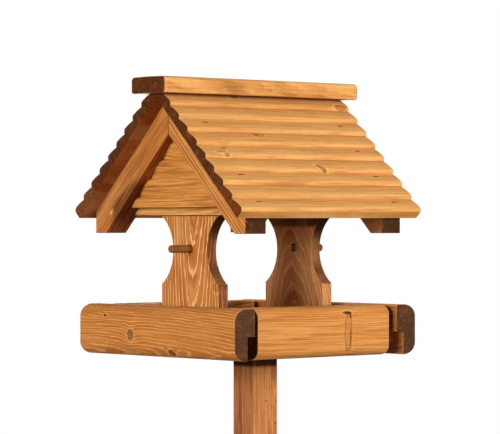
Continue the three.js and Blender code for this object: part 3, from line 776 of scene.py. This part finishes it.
    roughness = nodes.smooth(fibres, 0.2, 0.8, 0.60, 0.80) + ends * 0.15
    height = relief + ends * (grit * 1.5) + grit * 0.25
    return nodes.surface({"Base Color": colour, "Roughness": roughness, "Specular IOR Level": 0.05,
                          "Normal": nodes.bump(height, 0.55, 0.35 * MM)})


def metal(name, colour, roughness):
    """Plated steel with fine scratches and dull patches."""
    nodes = Nodes(bpy.data.materials.new(name))
    patches = nodes.noise(nodes.place(), (160.0, 160.0, 160.0), 3.0)
    scratches = nodes.noise(nodes.place(), (2500.0, 600.0, 2500.0))
    tint = nodes.mix(tuple(colour), DULL_ZINC, nodes.smooth(patches, 0.45, 0.75) * 0.6)
    shine = roughness + nodes.smooth(patches, 0.3, 0.8) * 0.2 + scratches * 0.08
    return nodes.surface({"Base Color": tint, "Metallic": 1.0, "Roughness": shine,
                          "Normal": nodes.bump(scratches, 0.2, 0.1 * MM)})


# Places that several pieces share

BOARD_NOSES = 2  # on each ridged board
EDGE_STEP = 0.02 * MM  # past a nose, where the profile drops to the valley
LEAST_STEP = 0.05 * MM  # between a joint and the next place of the profile
NOSE_REACH = 0.98  # of the nose radius, over which the places lie close
SMALL_ARRIS = 0.5 * MM  # of the joints of the ridged boards
LIP_ARRIS = 0.9 * MM  # of the lower edge of the lowest board, whose pale worn arc is partly a painted highlight
CREST_DEPTH = 0.8 * MM  # below the crest, where its pale line of wear and painted highlight ends
CREST_WEAR_AND_HIGHLIGHT = 0.4


def numbered(stem):
    """The nodes whose names are a stem and a number, in order."""
    return sorted(node for node in frame["nodes"] if node.startswith(stem))


def roof_peak(sizes):
    """Height at which the undersides of the two slopes meet. The rafters' mitre ends just below
    it: half the fit times the slope, and the fit square to the slope."""
    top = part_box("rafter_front_left")[1].z
    return top + sizes.fit / 2 * math.tan(sizes.pitch) + sizes.fit / math.cos(sizes.pitch)


def slope(side, sizes):
    """Unit vectors down one slope of the roof and out of it."""
    run, rise = math.cos(sizes.pitch), math.sin(sizes.pitch)
    return np.array([0, side * run, -rise]), np.array([0, side * rise, run])


def board_foot(node, sizes):
    """How far down the slope the lower edge of a roof board lies."""
    return (roof_peak(sizes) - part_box(node)[0].z) / math.sin(sizes.pitch) + sizes.fit / 2


def ridge_profile(across, nose_end, sizes):
    """Thickness of a ridged board at a distance across it. Back from each nose it follows the
    nose's circle to where a flat face touches it, and then the lower of that face and the ramp,
    which swells a little, as a parabola, on its way down to the valley. The lower of a and b is
    (a + b - sqrt((a - b)^2 + soft^2)) / 2, which rounds the crest."""
    crest = sizes.valley + sizes.rise
    radius = sizes.nose_radius
    middle = crest - radius
    half = math.sqrt(radius ** 2 - (sizes.valley - middle) ** 2)
    back = np.mod(nose_end - across, sizes.ridge_pitch)
    reach = sizes.ridge_pitch - sizes.valley_flat - half
    drop = middle - sizes.valley
    ramp = math.atan2(drop, reach) + math.asin(radius / math.hypot(reach, drop))
    face = sizes.face_turn
    touch = half - radius * math.sin(face)
    circular = middle + np.sqrt(np.maximum(radius ** 2 - (back - half) ** 2, 0))
    flat = middle + radius / math.cos(face) + (back - half) * math.tan(face)
    left = sizes.ridge_pitch - sizes.valley_flat - back
    whole = sizes.ridge_pitch - sizes.valley_flat - touch
    share = np.clip(left / whole, 0, 1)
    straight = sizes.valley + left * math.tan(ramp) + 4 * sizes.ramp_bulge * share * (1 - share)
    soft = sizes.crest_round
    meet = (flat + straight - np.sqrt((flat - straight) ** 2 + soft ** 2)) / 2
    return np.where(back < touch, circular, np.maximum(meet, sizes.valley))


def ridge_line(low, high, nose_end, sizes):
    """Places from the high edge to the low one, and the profile there. They lie close over each
    nose, at equal turns of its circle, and wide over each ramp."""
    turn = np.linspace(0, math.pi, 17)
    half = sizes.nose_radius * NOSE_REACH
    ramp = np.linspace(2 * half, sizes.ridge_pitch - sizes.valley_flat, 6)[1:]
    step = np.concatenate([(1 - np.cos(turn)) * half, ramp])
    first = math.floor((nose_end - high) / sizes.ridge_pitch) - 1
    last = math.ceil((nose_end - low) / sizes.ridge_pitch) + 1
    nose_ends = nose_end - np.arange(first, last) * sizes.ridge_pitch
    places = np.concatenate([(nose_ends[:, None] - step).ravel(), nose_ends - EDGE_STEP])
    inside = (places > low + LEAST_STEP) & (places < high - LEAST_STEP)
    places = np.unique(np.round(places[inside], 7))
    places = np.concatenate([[low], places, [high]])[::-1]
    heights = ridge_profile(places, nose_end, sizes)
    heights[0] = ridge_profile(np.array([high - EDGE_STEP]), nose_end, sizes)[0]
    return places, heights


def tongue_band(sizes):
    """The heights between which the tongue lies, in the middle of the valley's thickness."""
    foot = (sizes.valley - sizes.tongue_thick) / 2
    return foot, foot + sizes.tongue_thick


def groove_corners(edge, sizes):
    """Corners of the groove in a board's joint, from the back of the board outwards."""
    foot, head = tongue_band(sizes)
    inner = edge - sizes.tongue_length - sizes.fit
    return [(edge, foot - sizes.fit), (inner, foot - sizes.fit),
            (inner, head + sizes.fit), (edge, head + sizes.fit)]


def ridged_outline(low, high, nose_end, sizes, tongue, groove):
    """Section of a ridged board between its upper and lower joint: flat back, tongue at the low
    end, groove at the high end, and the ridge profile on top."""
    foot, head = tongue_band(sizes)
    corners = [(low, 0, SMALL_ARRIS), (high, 0, SMALL_ARRIS)]
    corners += groove_corners(high, sizes) if groove else []
    corners += [(place, height, 0) for place, height in zip(*ridge_line(low, high, nose_end, sizes))]
    if not groove:
        corners[2] = (*corners[2][:2], LIP_ARRIS)
    if tongue:
        tip = low - sizes.tongue_length
        corners += [(low, head), (tip, head, SMALL_ARRIS), (tip, foot, SMALL_ARRIS), (low, foot)]
    points, worn = rounded(corners, 2)
    crest = sizes.valley + sizes.rise
    # pale crest line: partly wear, partly a painted highlight
    proud = np.clip((points[:, 1] - crest + CREST_DEPTH) / CREST_DEPTH, 0, 1)
    return points, np.maximum(worn, proud * CREST_WEAR_AND_HIGHLIGHT)


def top_outline(lower, top, sizes):
    """Section of the top board: cut plumb at the middle of the roof and level under the cap. A
    point at u down the slope and n out of it lies n cos - u sin above the peak."""
    run, rise = math.cos(sizes.pitch), math.sin(sizes.pitch)
    places, heights = ridge_line(-sizes.valley, lower, lower, sizes)
    above = heights * run - places * rise
    last = int(np.argmin(above < top))
    share = (top - above[last - 1]) / (above[last] - above[last - 1])
    crossing = [np.interp(share, [0, 1], values[last - 1:last + 1]) for values in (places, heights)]
    mitre = sizes.fit / 2
    corners = [(mitre * run, mitre * rise), (lower, 0, SMALL_ARRIS), *groove_corners(lower, sizes)]
    corners += [(place, height, 0) for place, height in zip(places[:last], heights[:last])]
    corners += [(*crossing, 0), (mitre * run - top * rise, mitre * rise + top * run, 0)]
    points, worn = rounded(corners, 2)
    return points, worn * 0.5


def pillar_outline(half, foot, head, sizes):
    """Outline of a pillar: straight sides, and above the shoulders one hollow arc on each side.
    The arc's radius follows from its chord and depth: (chord^2 + depth^2) / (2 depth), with half
    the chord."""
    low = foot + sizes.shoulder
    high = head - sizes.head_lip
    chord = (high - low) / 2
    radius = (chord ** 2 + sizes.scallop ** 2) / (2 * sizes.scallop)
    middle = half - sizes.scallop + radius
    sweep = math.asin(chord / radius) * np.linspace(-1, 1, 25)
    arc = np.stack([middle - radius * np.cos(sweep), (low + high) / 2 + radius * np.sin(sweep)], 1)
    right = [(half, foot, sizes.arris), *[(y, z, 0) for y, z in arc], (half, head, 0)]
    return sawn_outline(mirrored(right), sizes)


def rail_outline(height, thick, deep, tall, sizes):
    """Section of a tray rail from its inner face, with a rebate inside. Both outer edges are
    quarters of an ellipse: thick - deep (1 - cos t) across and tall (1 - sin t) from the edge."""
    turn = np.linspace(0, math.pi / 2, 13)
    across = thick - deep * (1 - np.cos(turn))
    inset = tall * (1 - np.sin(turn))
    lower = [(a, b, 0) for a, b in zip(across[::-1], inset[::-1])]
    upper = [(a, height - b, 0) for a, b in zip(across, inset)]
    corners = [(sizes.rebate_width, 0, sizes.arris), *lower, *upper, (0, height, sizes.rail_arris),
               (0, sizes.rebate_height, sizes.arris), (sizes.rebate_width, sizes.rebate_height, 0)]
    points, _ = rounded(corners, 8)
    return edged(points, np.zeros(len(points)), sizes.fade)


# Operators

BOARD_TRIM = 0.4 * MM  # taken off each end of a roof board
BOARD_DRIFT = 0.9 * MM  # most that an end lies short of the others
BOARD_ROUNDING = 0.6 * MM
CAP_CROWN = 0.6 * MM  # height of the middle of the cap above its edges
CAP_ROUNDING = 5 * MM
PEG_ROUNDING = 1.4 * MM
RAIL_ROUNDING = 2.5 * MM
POST_ARRIS = 2 * MM
SLANT_ROUNDING = 0.1 * MM  # of cuts that meet a rafter
GABLE_TIP = 1.5 * MM  # that the top gable board lacks at its point
TONGUE_SLACK = 0.97  # share of the fit by which a gable board's tongue is short

LAMPS = {  # the way to each lamp from its aim, and its width and height
    "key": ((0.10, -1.0, 0.15), (1.3, 1.5)),
    "fill": ((-1.0, -0.06, 0.13), (1.9, 1.3)),
    "rear": ((0.7, 1.0, -0.12), (1.3, 1.3)),
}
LAMP_SPREAD = math.radians(60)
PAPER = (0.82, 0.82, 0.82, 1.0)
WHITE = (1.0, 1.0, 1.0, 1.0)
PAPER_NEAR, PAPER_FAR = 0.7, 2.6  # from the post, between which the floor turns white
NEAR_WHITE = 0.55  # share of white nearer than that


class PieceOperator:
    """Common settings of the operators."""

    bl_options = {"REGISTER", "UNDO"}


class BIRDTABLE_OT_roof_boards(PieceOperator, bpy.types.Operator):
    """Make the ridged boards of both slopes of the roof"""

    bl_idname = "birdtable.roof_boards"
    bl_label = "Roof Boards"

    def execute(self, context):
        sizes = context.scene.bird_table_sizes
        peak = UP * roof_peak(sizes)
        draw = np.random.default_rng(5)
        for word, side in SIDES:
            down, out = slope(side, sizes)
            names = numbered(f"roof_board_{word}_")
            for number, node in enumerate(names):
                low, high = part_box(node)
                lower = board_foot(node, sizes)
                upper = lower - BOARD_NOSES * sizes.ridge_pitch + sizes.fit / 2
                if node == names[-1]:
                    outline = top_outline(lower, high.z - peak[2], sizes)
                else:
                    outline = ridged_outline(upper, lower, lower, sizes, True, number > 0)
                start, end = BOARD_TRIM + np.abs(draw.uniform(-1, 1, 2) * BOARD_DRIFT)
                section = (outline, (low.x + start, high.x - end), (down, out, X), peak,
                           BOARD_ROUNDING, 8)
                grain = (X, down, peak + down * lower)
                # painted shade on each board's underside and on the cut face under the eave
                shades = ((-out, BOARD_UNDERSIDE_SHADES.get(node, SHADE_BELOW), None),
                          (down, EAVE_CUT_SHADE, None, 0.8, 0.97))
                make_timber(node, section, grain, SEEDS["roof_board"] + number * 3 + side,
                            "roof_board", shades=shades)
        return {"FINISHED"}


class BIRDTABLE_OT_ridge_cap(PieceOperator, bpy.types.Operator):
    """Make the board that covers the ridge"""

    bl_idname = "birdtable.ridge_cap"
    bl_label = "Ridge Cap"

    def execute(self, context):
        sizes = context.scene.bird_table_sizes
        low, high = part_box("ridge_cap")
        arris, edge = sizes.cap_arris, high.z - CAP_CROWN
        corners = [(low.y, low.z, arris / 2), (high.y, low.z, arris / 2), (high.y, edge, arris),
                   (0, high.z, 0), (low.y, edge, arris)]
        section = (sawn_outline(corners, sizes, 6), (low.x, high.x), CROSSWISE, ORIGIN,
                   CAP_ROUNDING, 8)
        grain = (X, UP, (0, low.y, (low.z + high.z) / 2))
        make_timber("ridge_cap", section, grain, SEEDS["ridge_cap"], "ridge_cap")
        return {"FINISHED"}


class BIRDTABLE_OT_rafters(PieceOperator, bpy.types.Operator):
    """Make the four rafters, with a plumb mitre above and a plumb and a level cut below"""

    bl_idname = "birdtable.rafters"
    bl_label = "Rafters"

    def execute(self, context):
        sizes = context.scene.bird_table_sizes
        steep = math.tan(sizes.pitch)
        plumb = sizes.rafter_width / math.cos(sizes.pitch)
        arris, mitre = sizes.arris, sizes.fit / 2
        for word, end in ENDS:
            for side_word, side in SIDES:
                node = f"rafter_{word}_{side_word}"
                low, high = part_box(node)
                reach = max(abs(low.y), abs(high.y))
                outer = high.z + mitre * steep
                inner = outer - plumb
                corners = [(mitre, high.z), (mitre, inner - mitre * steep, arris / 2),
                           ((inner - low.z) / steep, low.z, arris), (reach, low.z, arris),
                           (reach, outer - reach * steep, arris / 2)]
                outline = sawn_outline([(side * a, b, *r) for a, b, *r in corners], sizes)
                section = outline, (low.x, high.x), CROSSWISE, ORIGIN, arris, 2
                down, out = slope(side, sizes)
                origin = (low.x if end < 0 else high.x, 0, outer - plumb / 2)
                # the rafter's underside takes a painted shade tint
                make_timber(node, section, (down, out, origin),
                            SEEDS["rafter"] + 2 * end + side, "rafter",
                            shades=((-out, SOFFIT_SHADE, None),))
        return {"FINISHED"}


class BIRDTABLE_OT_gables(PieceOperator, bpy.types.Operator):
    """Make the level boards in both gables and the ties under them"""

    bl_idname = "birdtable.gables"
    bl_label = "Gables"

    def execute(self, context):
        sizes = context.scene.bird_table_sizes
        steep = math.tan(sizes.pitch)
        for word, end in ENDS:
            names = numbered(f"gable_board_{word}_")
            low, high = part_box(names[-1])
            point = high.z
            back = low.x if end > 0 else high.x
            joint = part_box(names[0])[1].z
            span = (lambda loop: (loop[:, 0] - point) / steep,
                    lambda loop: (point - loop[:, 0]) / steep)
            for number, node in enumerate(names):
                low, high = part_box(node)
                is_top = node == names[-1]
                bottom = low.z + (sizes.tongue_length - TONGUE_SLACK * sizes.fit if number else 0)
                head = point - GABLE_TIP if is_top else high.z
                nose_end = joint + sizes.fit / 2 + number * BOARD_NOSES * sizes.ridge_pitch
                outline = ridged_outline(bottom, head, nose_end, sizes, number > 0, not is_top)
                section = (outline, span, (UP, (end, 0, 0), Y), np.array([back, 0, 0]),
                           SLANT_ROUNDING, 4)
                make_timber(node, section, (Y, UP, (back, 0, joint)),
                            SEEDS["gable_board"] + max(number, 1) + 5 * end, "gable_board")
            node = f"tie_{word}"
            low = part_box(node)[0]
            section = bar_section(node, 1, sizes.arris, SLANT_ROUNDING, sizes, span=span)
            make_timber(node, section, (Y, UP, (low.x, 0, low.z)), SEEDS["tie"] + end, "tie")
        return {"FINISHED"}


class BIRDTABLE_OT_pillars(PieceOperator, bpy.types.Operator):
    """Make the two scalloped pillars, each with the hole for its perch"""

    bl_idname = "birdtable.pillars"
    bl_label = "Pillars"

    def execute(self, context):
        sizes = context.scene.bird_table_sizes
        for word, end in ENDS:
            node = f"pillar_{word}"
            low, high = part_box(node)
            peg_low, peg_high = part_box(f"perch_{word}")
            centre = np.array([(peg_low.y + peg_high.y) / 2, (peg_low.z + peg_high.z) / 2])
            hole = centre + circle(40, -1) * ((peg_high.z - peg_low.z) / 2 + sizes.fit)
            outline = pillar_outline(high.y, low.z, high.z, sizes)
            section = outline, (low.x, high.x), CROSSWISE, ORIGIN, sizes.arris, 2, [hole]
            make_timber(node, section, (UP, RIGHT, (low.x, 0, low.z)), SEEDS["pillar"] + end,
                        "pillar")
        return {"FINISHED"}


class BIRDTABLE_OT_perches(PieceOperator, bpy.types.Operator):
    """Make the two perch pegs"""

    bl_idname = "birdtable.perches"
    bl_label = "Perches"

    def execute(self, context):
        dowel = context.scene.bird_table_colours.dowel
        for word, end in ENDS:
            node = f"perch_{word}"
            low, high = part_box(node)
            centre = ((low.y + high.y) / 2, (low.z + high.z) / 2)
            outline = circle(48) * ((high.z - low.z) / 2)
            section = ((outline, np.zeros(len(outline))), (low.x, high.x), CROSSWISE,
                       np.array([0, *centre]), PEG_ROUNDING, 12)
            make_timber(node, section, (X, UP, (low.x, *centre)), SEEDS["perch"] + end, "perch",
                        kind="peg", base=dowel)
        return {"FINISHED"}


class BIRDTABLE_OT_tray_rails(PieceOperator, bpy.types.Operator):
    """Make the four rails of the tray"""

    bl_idname = "birdtable.tray_rails"
    bl_label = "Tray Rails"

    def execute(self, context):
        sizes = context.scene.bird_table_sizes
        kinds = (("end_rail", sizes.end_rail_deep, sizes.end_rail_tall),
                 ("side_rail", sizes.side_rail_deep, sizes.side_rail_tall))
        for word, way in WAYS.items():
            node = f"tray_rail_{word}"
            low, high = (np.array(corner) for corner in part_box(node))
            axis, sign = (0, way[0]) if way[0] else (1, way[1])
            along = 1 - axis
            kind, deep, tall = kinds[axis]
            across, length = np.eye(3)[[axis, along]]
            outline = rail_outline(high[2] - low[2], high[axis] - low[axis], deep, tall, sizes)
            inner, outer = (across * place + UP * low[2]
                            for place in (low[axis], high[axis])[::sign])
            section = (outline, (low[along], high[along]), (way, UP, length), inner,
                       RAIL_ROUNDING, 8)
            make_timber(node, section, (length, UP, outer), SEEDS[kind] + sign, "tray_rail")
        return {"FINISHED"}


class BIRDTABLE_OT_floor(PieceOperator, bpy.types.Operator):
    """Make the floor boards of the tray, and dress the battens and bearers under it"""

    bl_idname = "birdtable.floor"
    bl_label = "Floor"

    def execute(self, context):
        sizes = context.scene.bird_table_sizes
        for number, node in enumerate(numbered("floor_board_")):
            low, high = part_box(node)
            section = bar_section(node, 0, sizes.arris, sizes.arris, sizes)
            make_timber(node, section, (X, Y, (0, low.y, high.z)), SEEDS["floor_board"] + number,
                        "floor_board")
        for node in ("floor_batten_front", "floor_batten_back", "post_bearer_left",
                     "post_bearer_right"):
            along, across = (Y, X) if "batten" in node else (X, Y)
            material = wood(f"{node}_wood", along, across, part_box(node)[0], SEEDS["under_floor"],
                            **GROUP_LOOKS["under_floor"])
            dress_node(node, material)
        return {"FINISHED"}


class BIRDTABLE_OT_stand(PieceOperator, bpy.types.Operator):
    """Make the post, the crossed feet and the braces"""

    bl_idname = "birdtable.stand"
    bl_label = "Stand"

    def execute(self, context):
        sizes = context.scene.bird_table_sizes
        stain = context.scene.bird_table_colours.stand
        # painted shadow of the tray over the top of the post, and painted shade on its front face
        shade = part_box("tray_rail_right")[0].z / MM - POST_SHADE
        tray_shadow = [(way, POST_SHADOW_TINT, shade, 0.5, 0.8) for way in WAYS.values()]
        make_timber("post", bar_section("post", 2, POST_ARRIS, sizes.arris, sizes, 6),
                    (UP, X, (0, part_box("post")[0].y, 0)), SEEDS["post"], "stand", base=stain,
                    shades=(POST_FRONT_SHADE, *tray_shadow))
        for axis, node in enumerate(("foot_long", "foot_cross")):
            make_foot(node, axis, sizes, stain)
        for word, way in WAYS.items():
            make_brace(f"brace_{word}", np.array(way, dtype=float), sizes, stain)
        return {"FINISHED"}


def make_foot(node, axis, sizes, stain):
    """A foot with chamfered ends. The two are halved over each other: the one along axis 0 from
    above, and the other from below."""
    low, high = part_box(node)
    arris, chamfer = sizes.arris, sizes.foot_chamfer
    half, tall = high[axis], high.z
    sides = mirrored([(half, 0, arris), (half, tall - chamfer, arris), (half - chamfer, tall, arris)])
    notch = high[1 - axis] + sizes.fit
    if axis:
        lap = tall / 2 + sizes.fit
        corners = [*sides, (-notch, 0), (-notch, lap), (notch, lap), (notch, 0)]
    else:
        slot = [(notch, tall), (notch, tall / 2), (-notch, tall / 2), (-notch, tall)]
        corners = [*sides[:3], *slot, *sides[3:]]
    along, across = np.eye(3)[[axis, 1 - axis]]
    section = (sawn_outline(corners, sizes), (low[1 - axis], high[1 - axis]), (along, UP, across),
               ORIGIN, arris, 2)
    make_timber(node, section, (along, UP, ORIGIN), SEEDS["foot"] + axis, "stand", base=stain)


def make_brace(node, way, sizes, stain):
    """A brace at 45 degrees from a foot to the post, cut level below and plumb above."""
    box = np.array(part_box(node))
    side = np.cross(UP, way)
    near, far = sorted(np.abs(box @ way))
    half = np.abs(box @ side).max()
    foot, head = box[:, 2]
    arris, cut = sizes.arris, sizes.brace_width * math.sqrt(2)
    corners = [(far - cut, foot), (far, foot, arris), (near, head, arris), (near, head - cut)]
    section = (sawn_outline(corners, sizes), (-half, half), (way, UP, side), ORIGIN, arris, 2)
    make_timber(node, section, (way - UP, way + UP, way * near + UP * head), SEEDS["brace"],
                "stand", base=stain)


class BIRDTABLE_OT_fasteners(PieceOperator, bpy.types.Operator):
    """Dress the bolts, nuts and screws, and make the staples in the roof boards"""

    bl_idname = "birdtable.fasteners"
    bl_label = "Fasteners"

    def execute(self, context):
        sizes = context.scene.bird_table_sizes
        colours = context.scene.bird_table_colours
        plated = metal("zinc_plate", colours.zinc, 0.32)
        for node in frame["nodes"]:
            if SLOT_OF[node] == "zinc_steel":
                dress_node(node, plated)
        rusty = metal("staple_steel", colours.rust, 0.6)
        for word, side in SIDES:
            down, out = slope(side, sizes)
            centres = []
            for node in numbered(f"roof_board_{word}_")[:-1]:
                lower = board_foot(node, sizes)
                place = lower - sizes.staple_place
                height = ridge_profile(np.array([place]), lower, sizes)
                for end_word, _ in ENDS:
                    rafter_low, rafter_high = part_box(f"rafter_{end_word}_{word}")
                    middle = (rafter_low.x + rafter_high.x) / 2
                    centres.append(X * middle + UP * roof_peak(sizes) + down * place + out * height)
            points, faces = staples(np.array(centres), down, out, sizes)
            if side < 0:
                faces = [face[::-1] for face in faces]
            piece = new_piece(f"staples_{word}", points, faces, np.zeros(len(points)))
            piece.data.materials.append(rusty)
            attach(piece, BODY)
        return {"FINISHED"}


def staples(centres, down, out, sizes):
    """The crowns of staples as wires along the ridge, half sunk in the board: at each share of
    half the crown stands a ring of the wire's radius times a swell, flattened out of the board
    by half."""
    rings = np.array([(-1.0, 0.35), (-0.96, 0.8), (-0.85, 1.0), (0.85, 1.0), (0.96, 0.8), (1.0, 0.35)])
    share, swell = rings.T[:, :, None, None]
    around = circle(8)
    wire = around[:, :1] * down + 0.5 * around[:, 1:] * out
    one = share * sizes.staple_crown / 2 * X + swell * sizes.staple_wire / 2 * wire
    points = (centres[:, None, None] + one).reshape(-1, 3)
    first = np.arange(0, len(points), one[..., 0].size)[:, None, None]
    sides = first + tube_faces(len(rings), len(around))
    ring = np.arange(len(around))
    caps = first + np.stack([ring[::-1], (len(rings) - 1) * len(ring) + ring])
    return points, sides.reshape(-1, 4).tolist() + caps.reshape(-1, len(ring)).tolist()


class BIRDTABLE_OT_stage(PieceOperator, bpy.types.Operator):
    """Make the floor, the lamps, the surroundings and the camera"""

    bl_idname = "birdtable.stage"
    bl_label = "Stage"

    def execute(self, context):
        scene = context.scene
        studio = scene.bird_table_studio
        scene.view_settings.view_transform = "Standard"
        make_floor(studio)
        make_world(scene, studio)
        low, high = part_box("ridge_cap")
        head = Vector(((low.x + high.x) / 2, 0, 0))
        make_camera(scene, studio, head)
        target = head + Vector((0, 0, studio.lamp_height))
        for name, (way, size) in LAMPS.items():
            make_lamp(f"{name}_lamp", target, way, studio.lamp_distance, size,
                      getattr(studio, f"{name}_power"))
        return {"FINISHED"}


def make_floor(studio):
    """A disc under the table, from its centre out to its edge. Near the table it is a pale matt
    surface that takes the shadow, and farther out it turns white to the camera."""
    rim = np.zeros((64, 3))
    rim[:, :2] = circle(len(rim)) * studio.floor_radius
    mesh = bpy.data.meshes.new("floor")
    mesh.from_pydata(rim.tolist(), [], [list(range(len(rim)))])
    floor = new_object("floor", mesh)
    nodes = Nodes(bpy.data.materials.new("floor_paper"))
    away = nodes.node("ShaderNodeVectorMath", {"operation": "LENGTH"}, {0: nodes.place()}, 1)
    paper = nodes.node("ShaderNodeBsdfDiffuse", inputs={"Color": PAPER})
    white = nodes.node("ShaderNodeEmission", inputs={"Color": WHITE, "Strength": 1.0})
    factor = nodes.smooth(away, PAPER_NEAR, PAPER_FAR, NEAR_WHITE, 1.0) * nodes.sight()
    surface = nodes.node("ShaderNodeMixShader", inputs={0: factor, 1: paper, 2: white})
    nodes.node("ShaderNodeOutputMaterial", inputs={"Surface": surface})
    mesh.materials.append(nodes.owner)


def make_world(scene, studio):
    """White where the camera, a reflection or a clear thing sees it, and a soft light elsewhere."""
    scene.world = bpy.data.worlds.new("studio")
    nodes = Nodes(scene.world)
    strength = nodes.node("ShaderNodeMapRange", inputs={
        "Value": nodes.sight(), "To Min": studio.ambient, "To Max": 1.0})
    light = nodes.node("ShaderNodeBackground", inputs={"Color": WHITE, "Strength": strength})
    nodes.node("ShaderNodeOutputWorld", inputs={0: light})


def face(thing, place, way):
    """Stands a camera or a lamp at a place and turns it to look along a way."""
    thing.location = place
    thing.rotation_mode = "QUATERNION"
    thing.rotation_quaternion = way.to_track_quat("-Z", "Y")
    return thing


def make_camera(scene, studio, head):
    """The camera stands level at eye height and aims along the bearing."""
    aim = Vector((-math.sin(studio.bearing), math.cos(studio.bearing), 0))
    aside = Vector((aim.y, -aim.x, 0))
    data = bpy.data.cameras.new("camera")
    data.lens = studio.lens
    data.sensor_width = 36
    data.clip_end = 100
    eye = head + Vector((0, 0, studio.eye_height))
    place = eye - aim * studio.distance + aside * studio.sidestep
    scene.camera = face(new_object("camera", data), place, aim)


def make_lamp(name, target, way, distance, size, power):
    """A soft box that stands off from the target and faces it."""
    data = bpy.data.lights.new(name, "AREA")
    data.shape = "RECTANGLE"
    data.size, data.size_y = size
    data.energy = power
    data.spread = LAMP_SPREAD
    way = Vector(way).normalized()
    face(new_object(name, data), target + way * distance, -way)


OPERATORS = (
    BIRDTABLE_OT_roof_boards,
    BIRDTABLE_OT_ridge_cap,
    BIRDTABLE_OT_rafters,
    BIRDTABLE_OT_gables,
    BIRDTABLE_OT_pillars,
    BIRDTABLE_OT_perches,
    BIRDTABLE_OT_tray_rails,
    BIRDTABLE_OT_floor,
    BIRDTABLE_OT_stand,
    BIRDTABLE_OT_fasteners,
    BIRDTABLE_OT_stage,
)
GROUPS = {
    "bird_table_sizes": TimberSizes,
    "bird_table_colours": TimberColours,
    "bird_table_studio": StudioSettings,
}


class BIRDTABLE_PT_panel(bpy.types.Panel):
    """Sidebar panel with the operators of the bird table"""

    bl_label = "Bird Table"
    bl_idname = "BIRDTABLE_PT_panel"
    bl_space_type = "VIEW_3D"
    bl_region_type = "UI"
    bl_category = "Bird Table"

    def draw(self, context):
        for operator in OPERATORS:
            self.layout.operator(operator.bl_idname)


def register():
    for group in GROUPS.values():
        bpy.utils.register_class(group)
    for name, group in GROUPS.items():
        setattr(bpy.types.Scene, name, PointerProperty(type=group))
    for item in (*OPERATORS, BIRDTABLE_PT_panel):
        bpy.utils.register_class(item)


def unregister():
    for item in (BIRDTABLE_PT_panel, *reversed(OPERATORS)):
        bpy.utils.unregister_class(item)
    for name in GROUPS:
        delattr(bpy.types.Scene, name)
    for group in reversed(GROUPS.values()):
        bpy.utils.unregister_class(group)


def main():
    """Builds every piece."""
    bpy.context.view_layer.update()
    register()
    for operator in OPERATORS:
        section, name = operator.bl_idname.split(".")
        getattr(getattr(bpy.ops, section), name)()


if __name__ == "__main__":
    main()
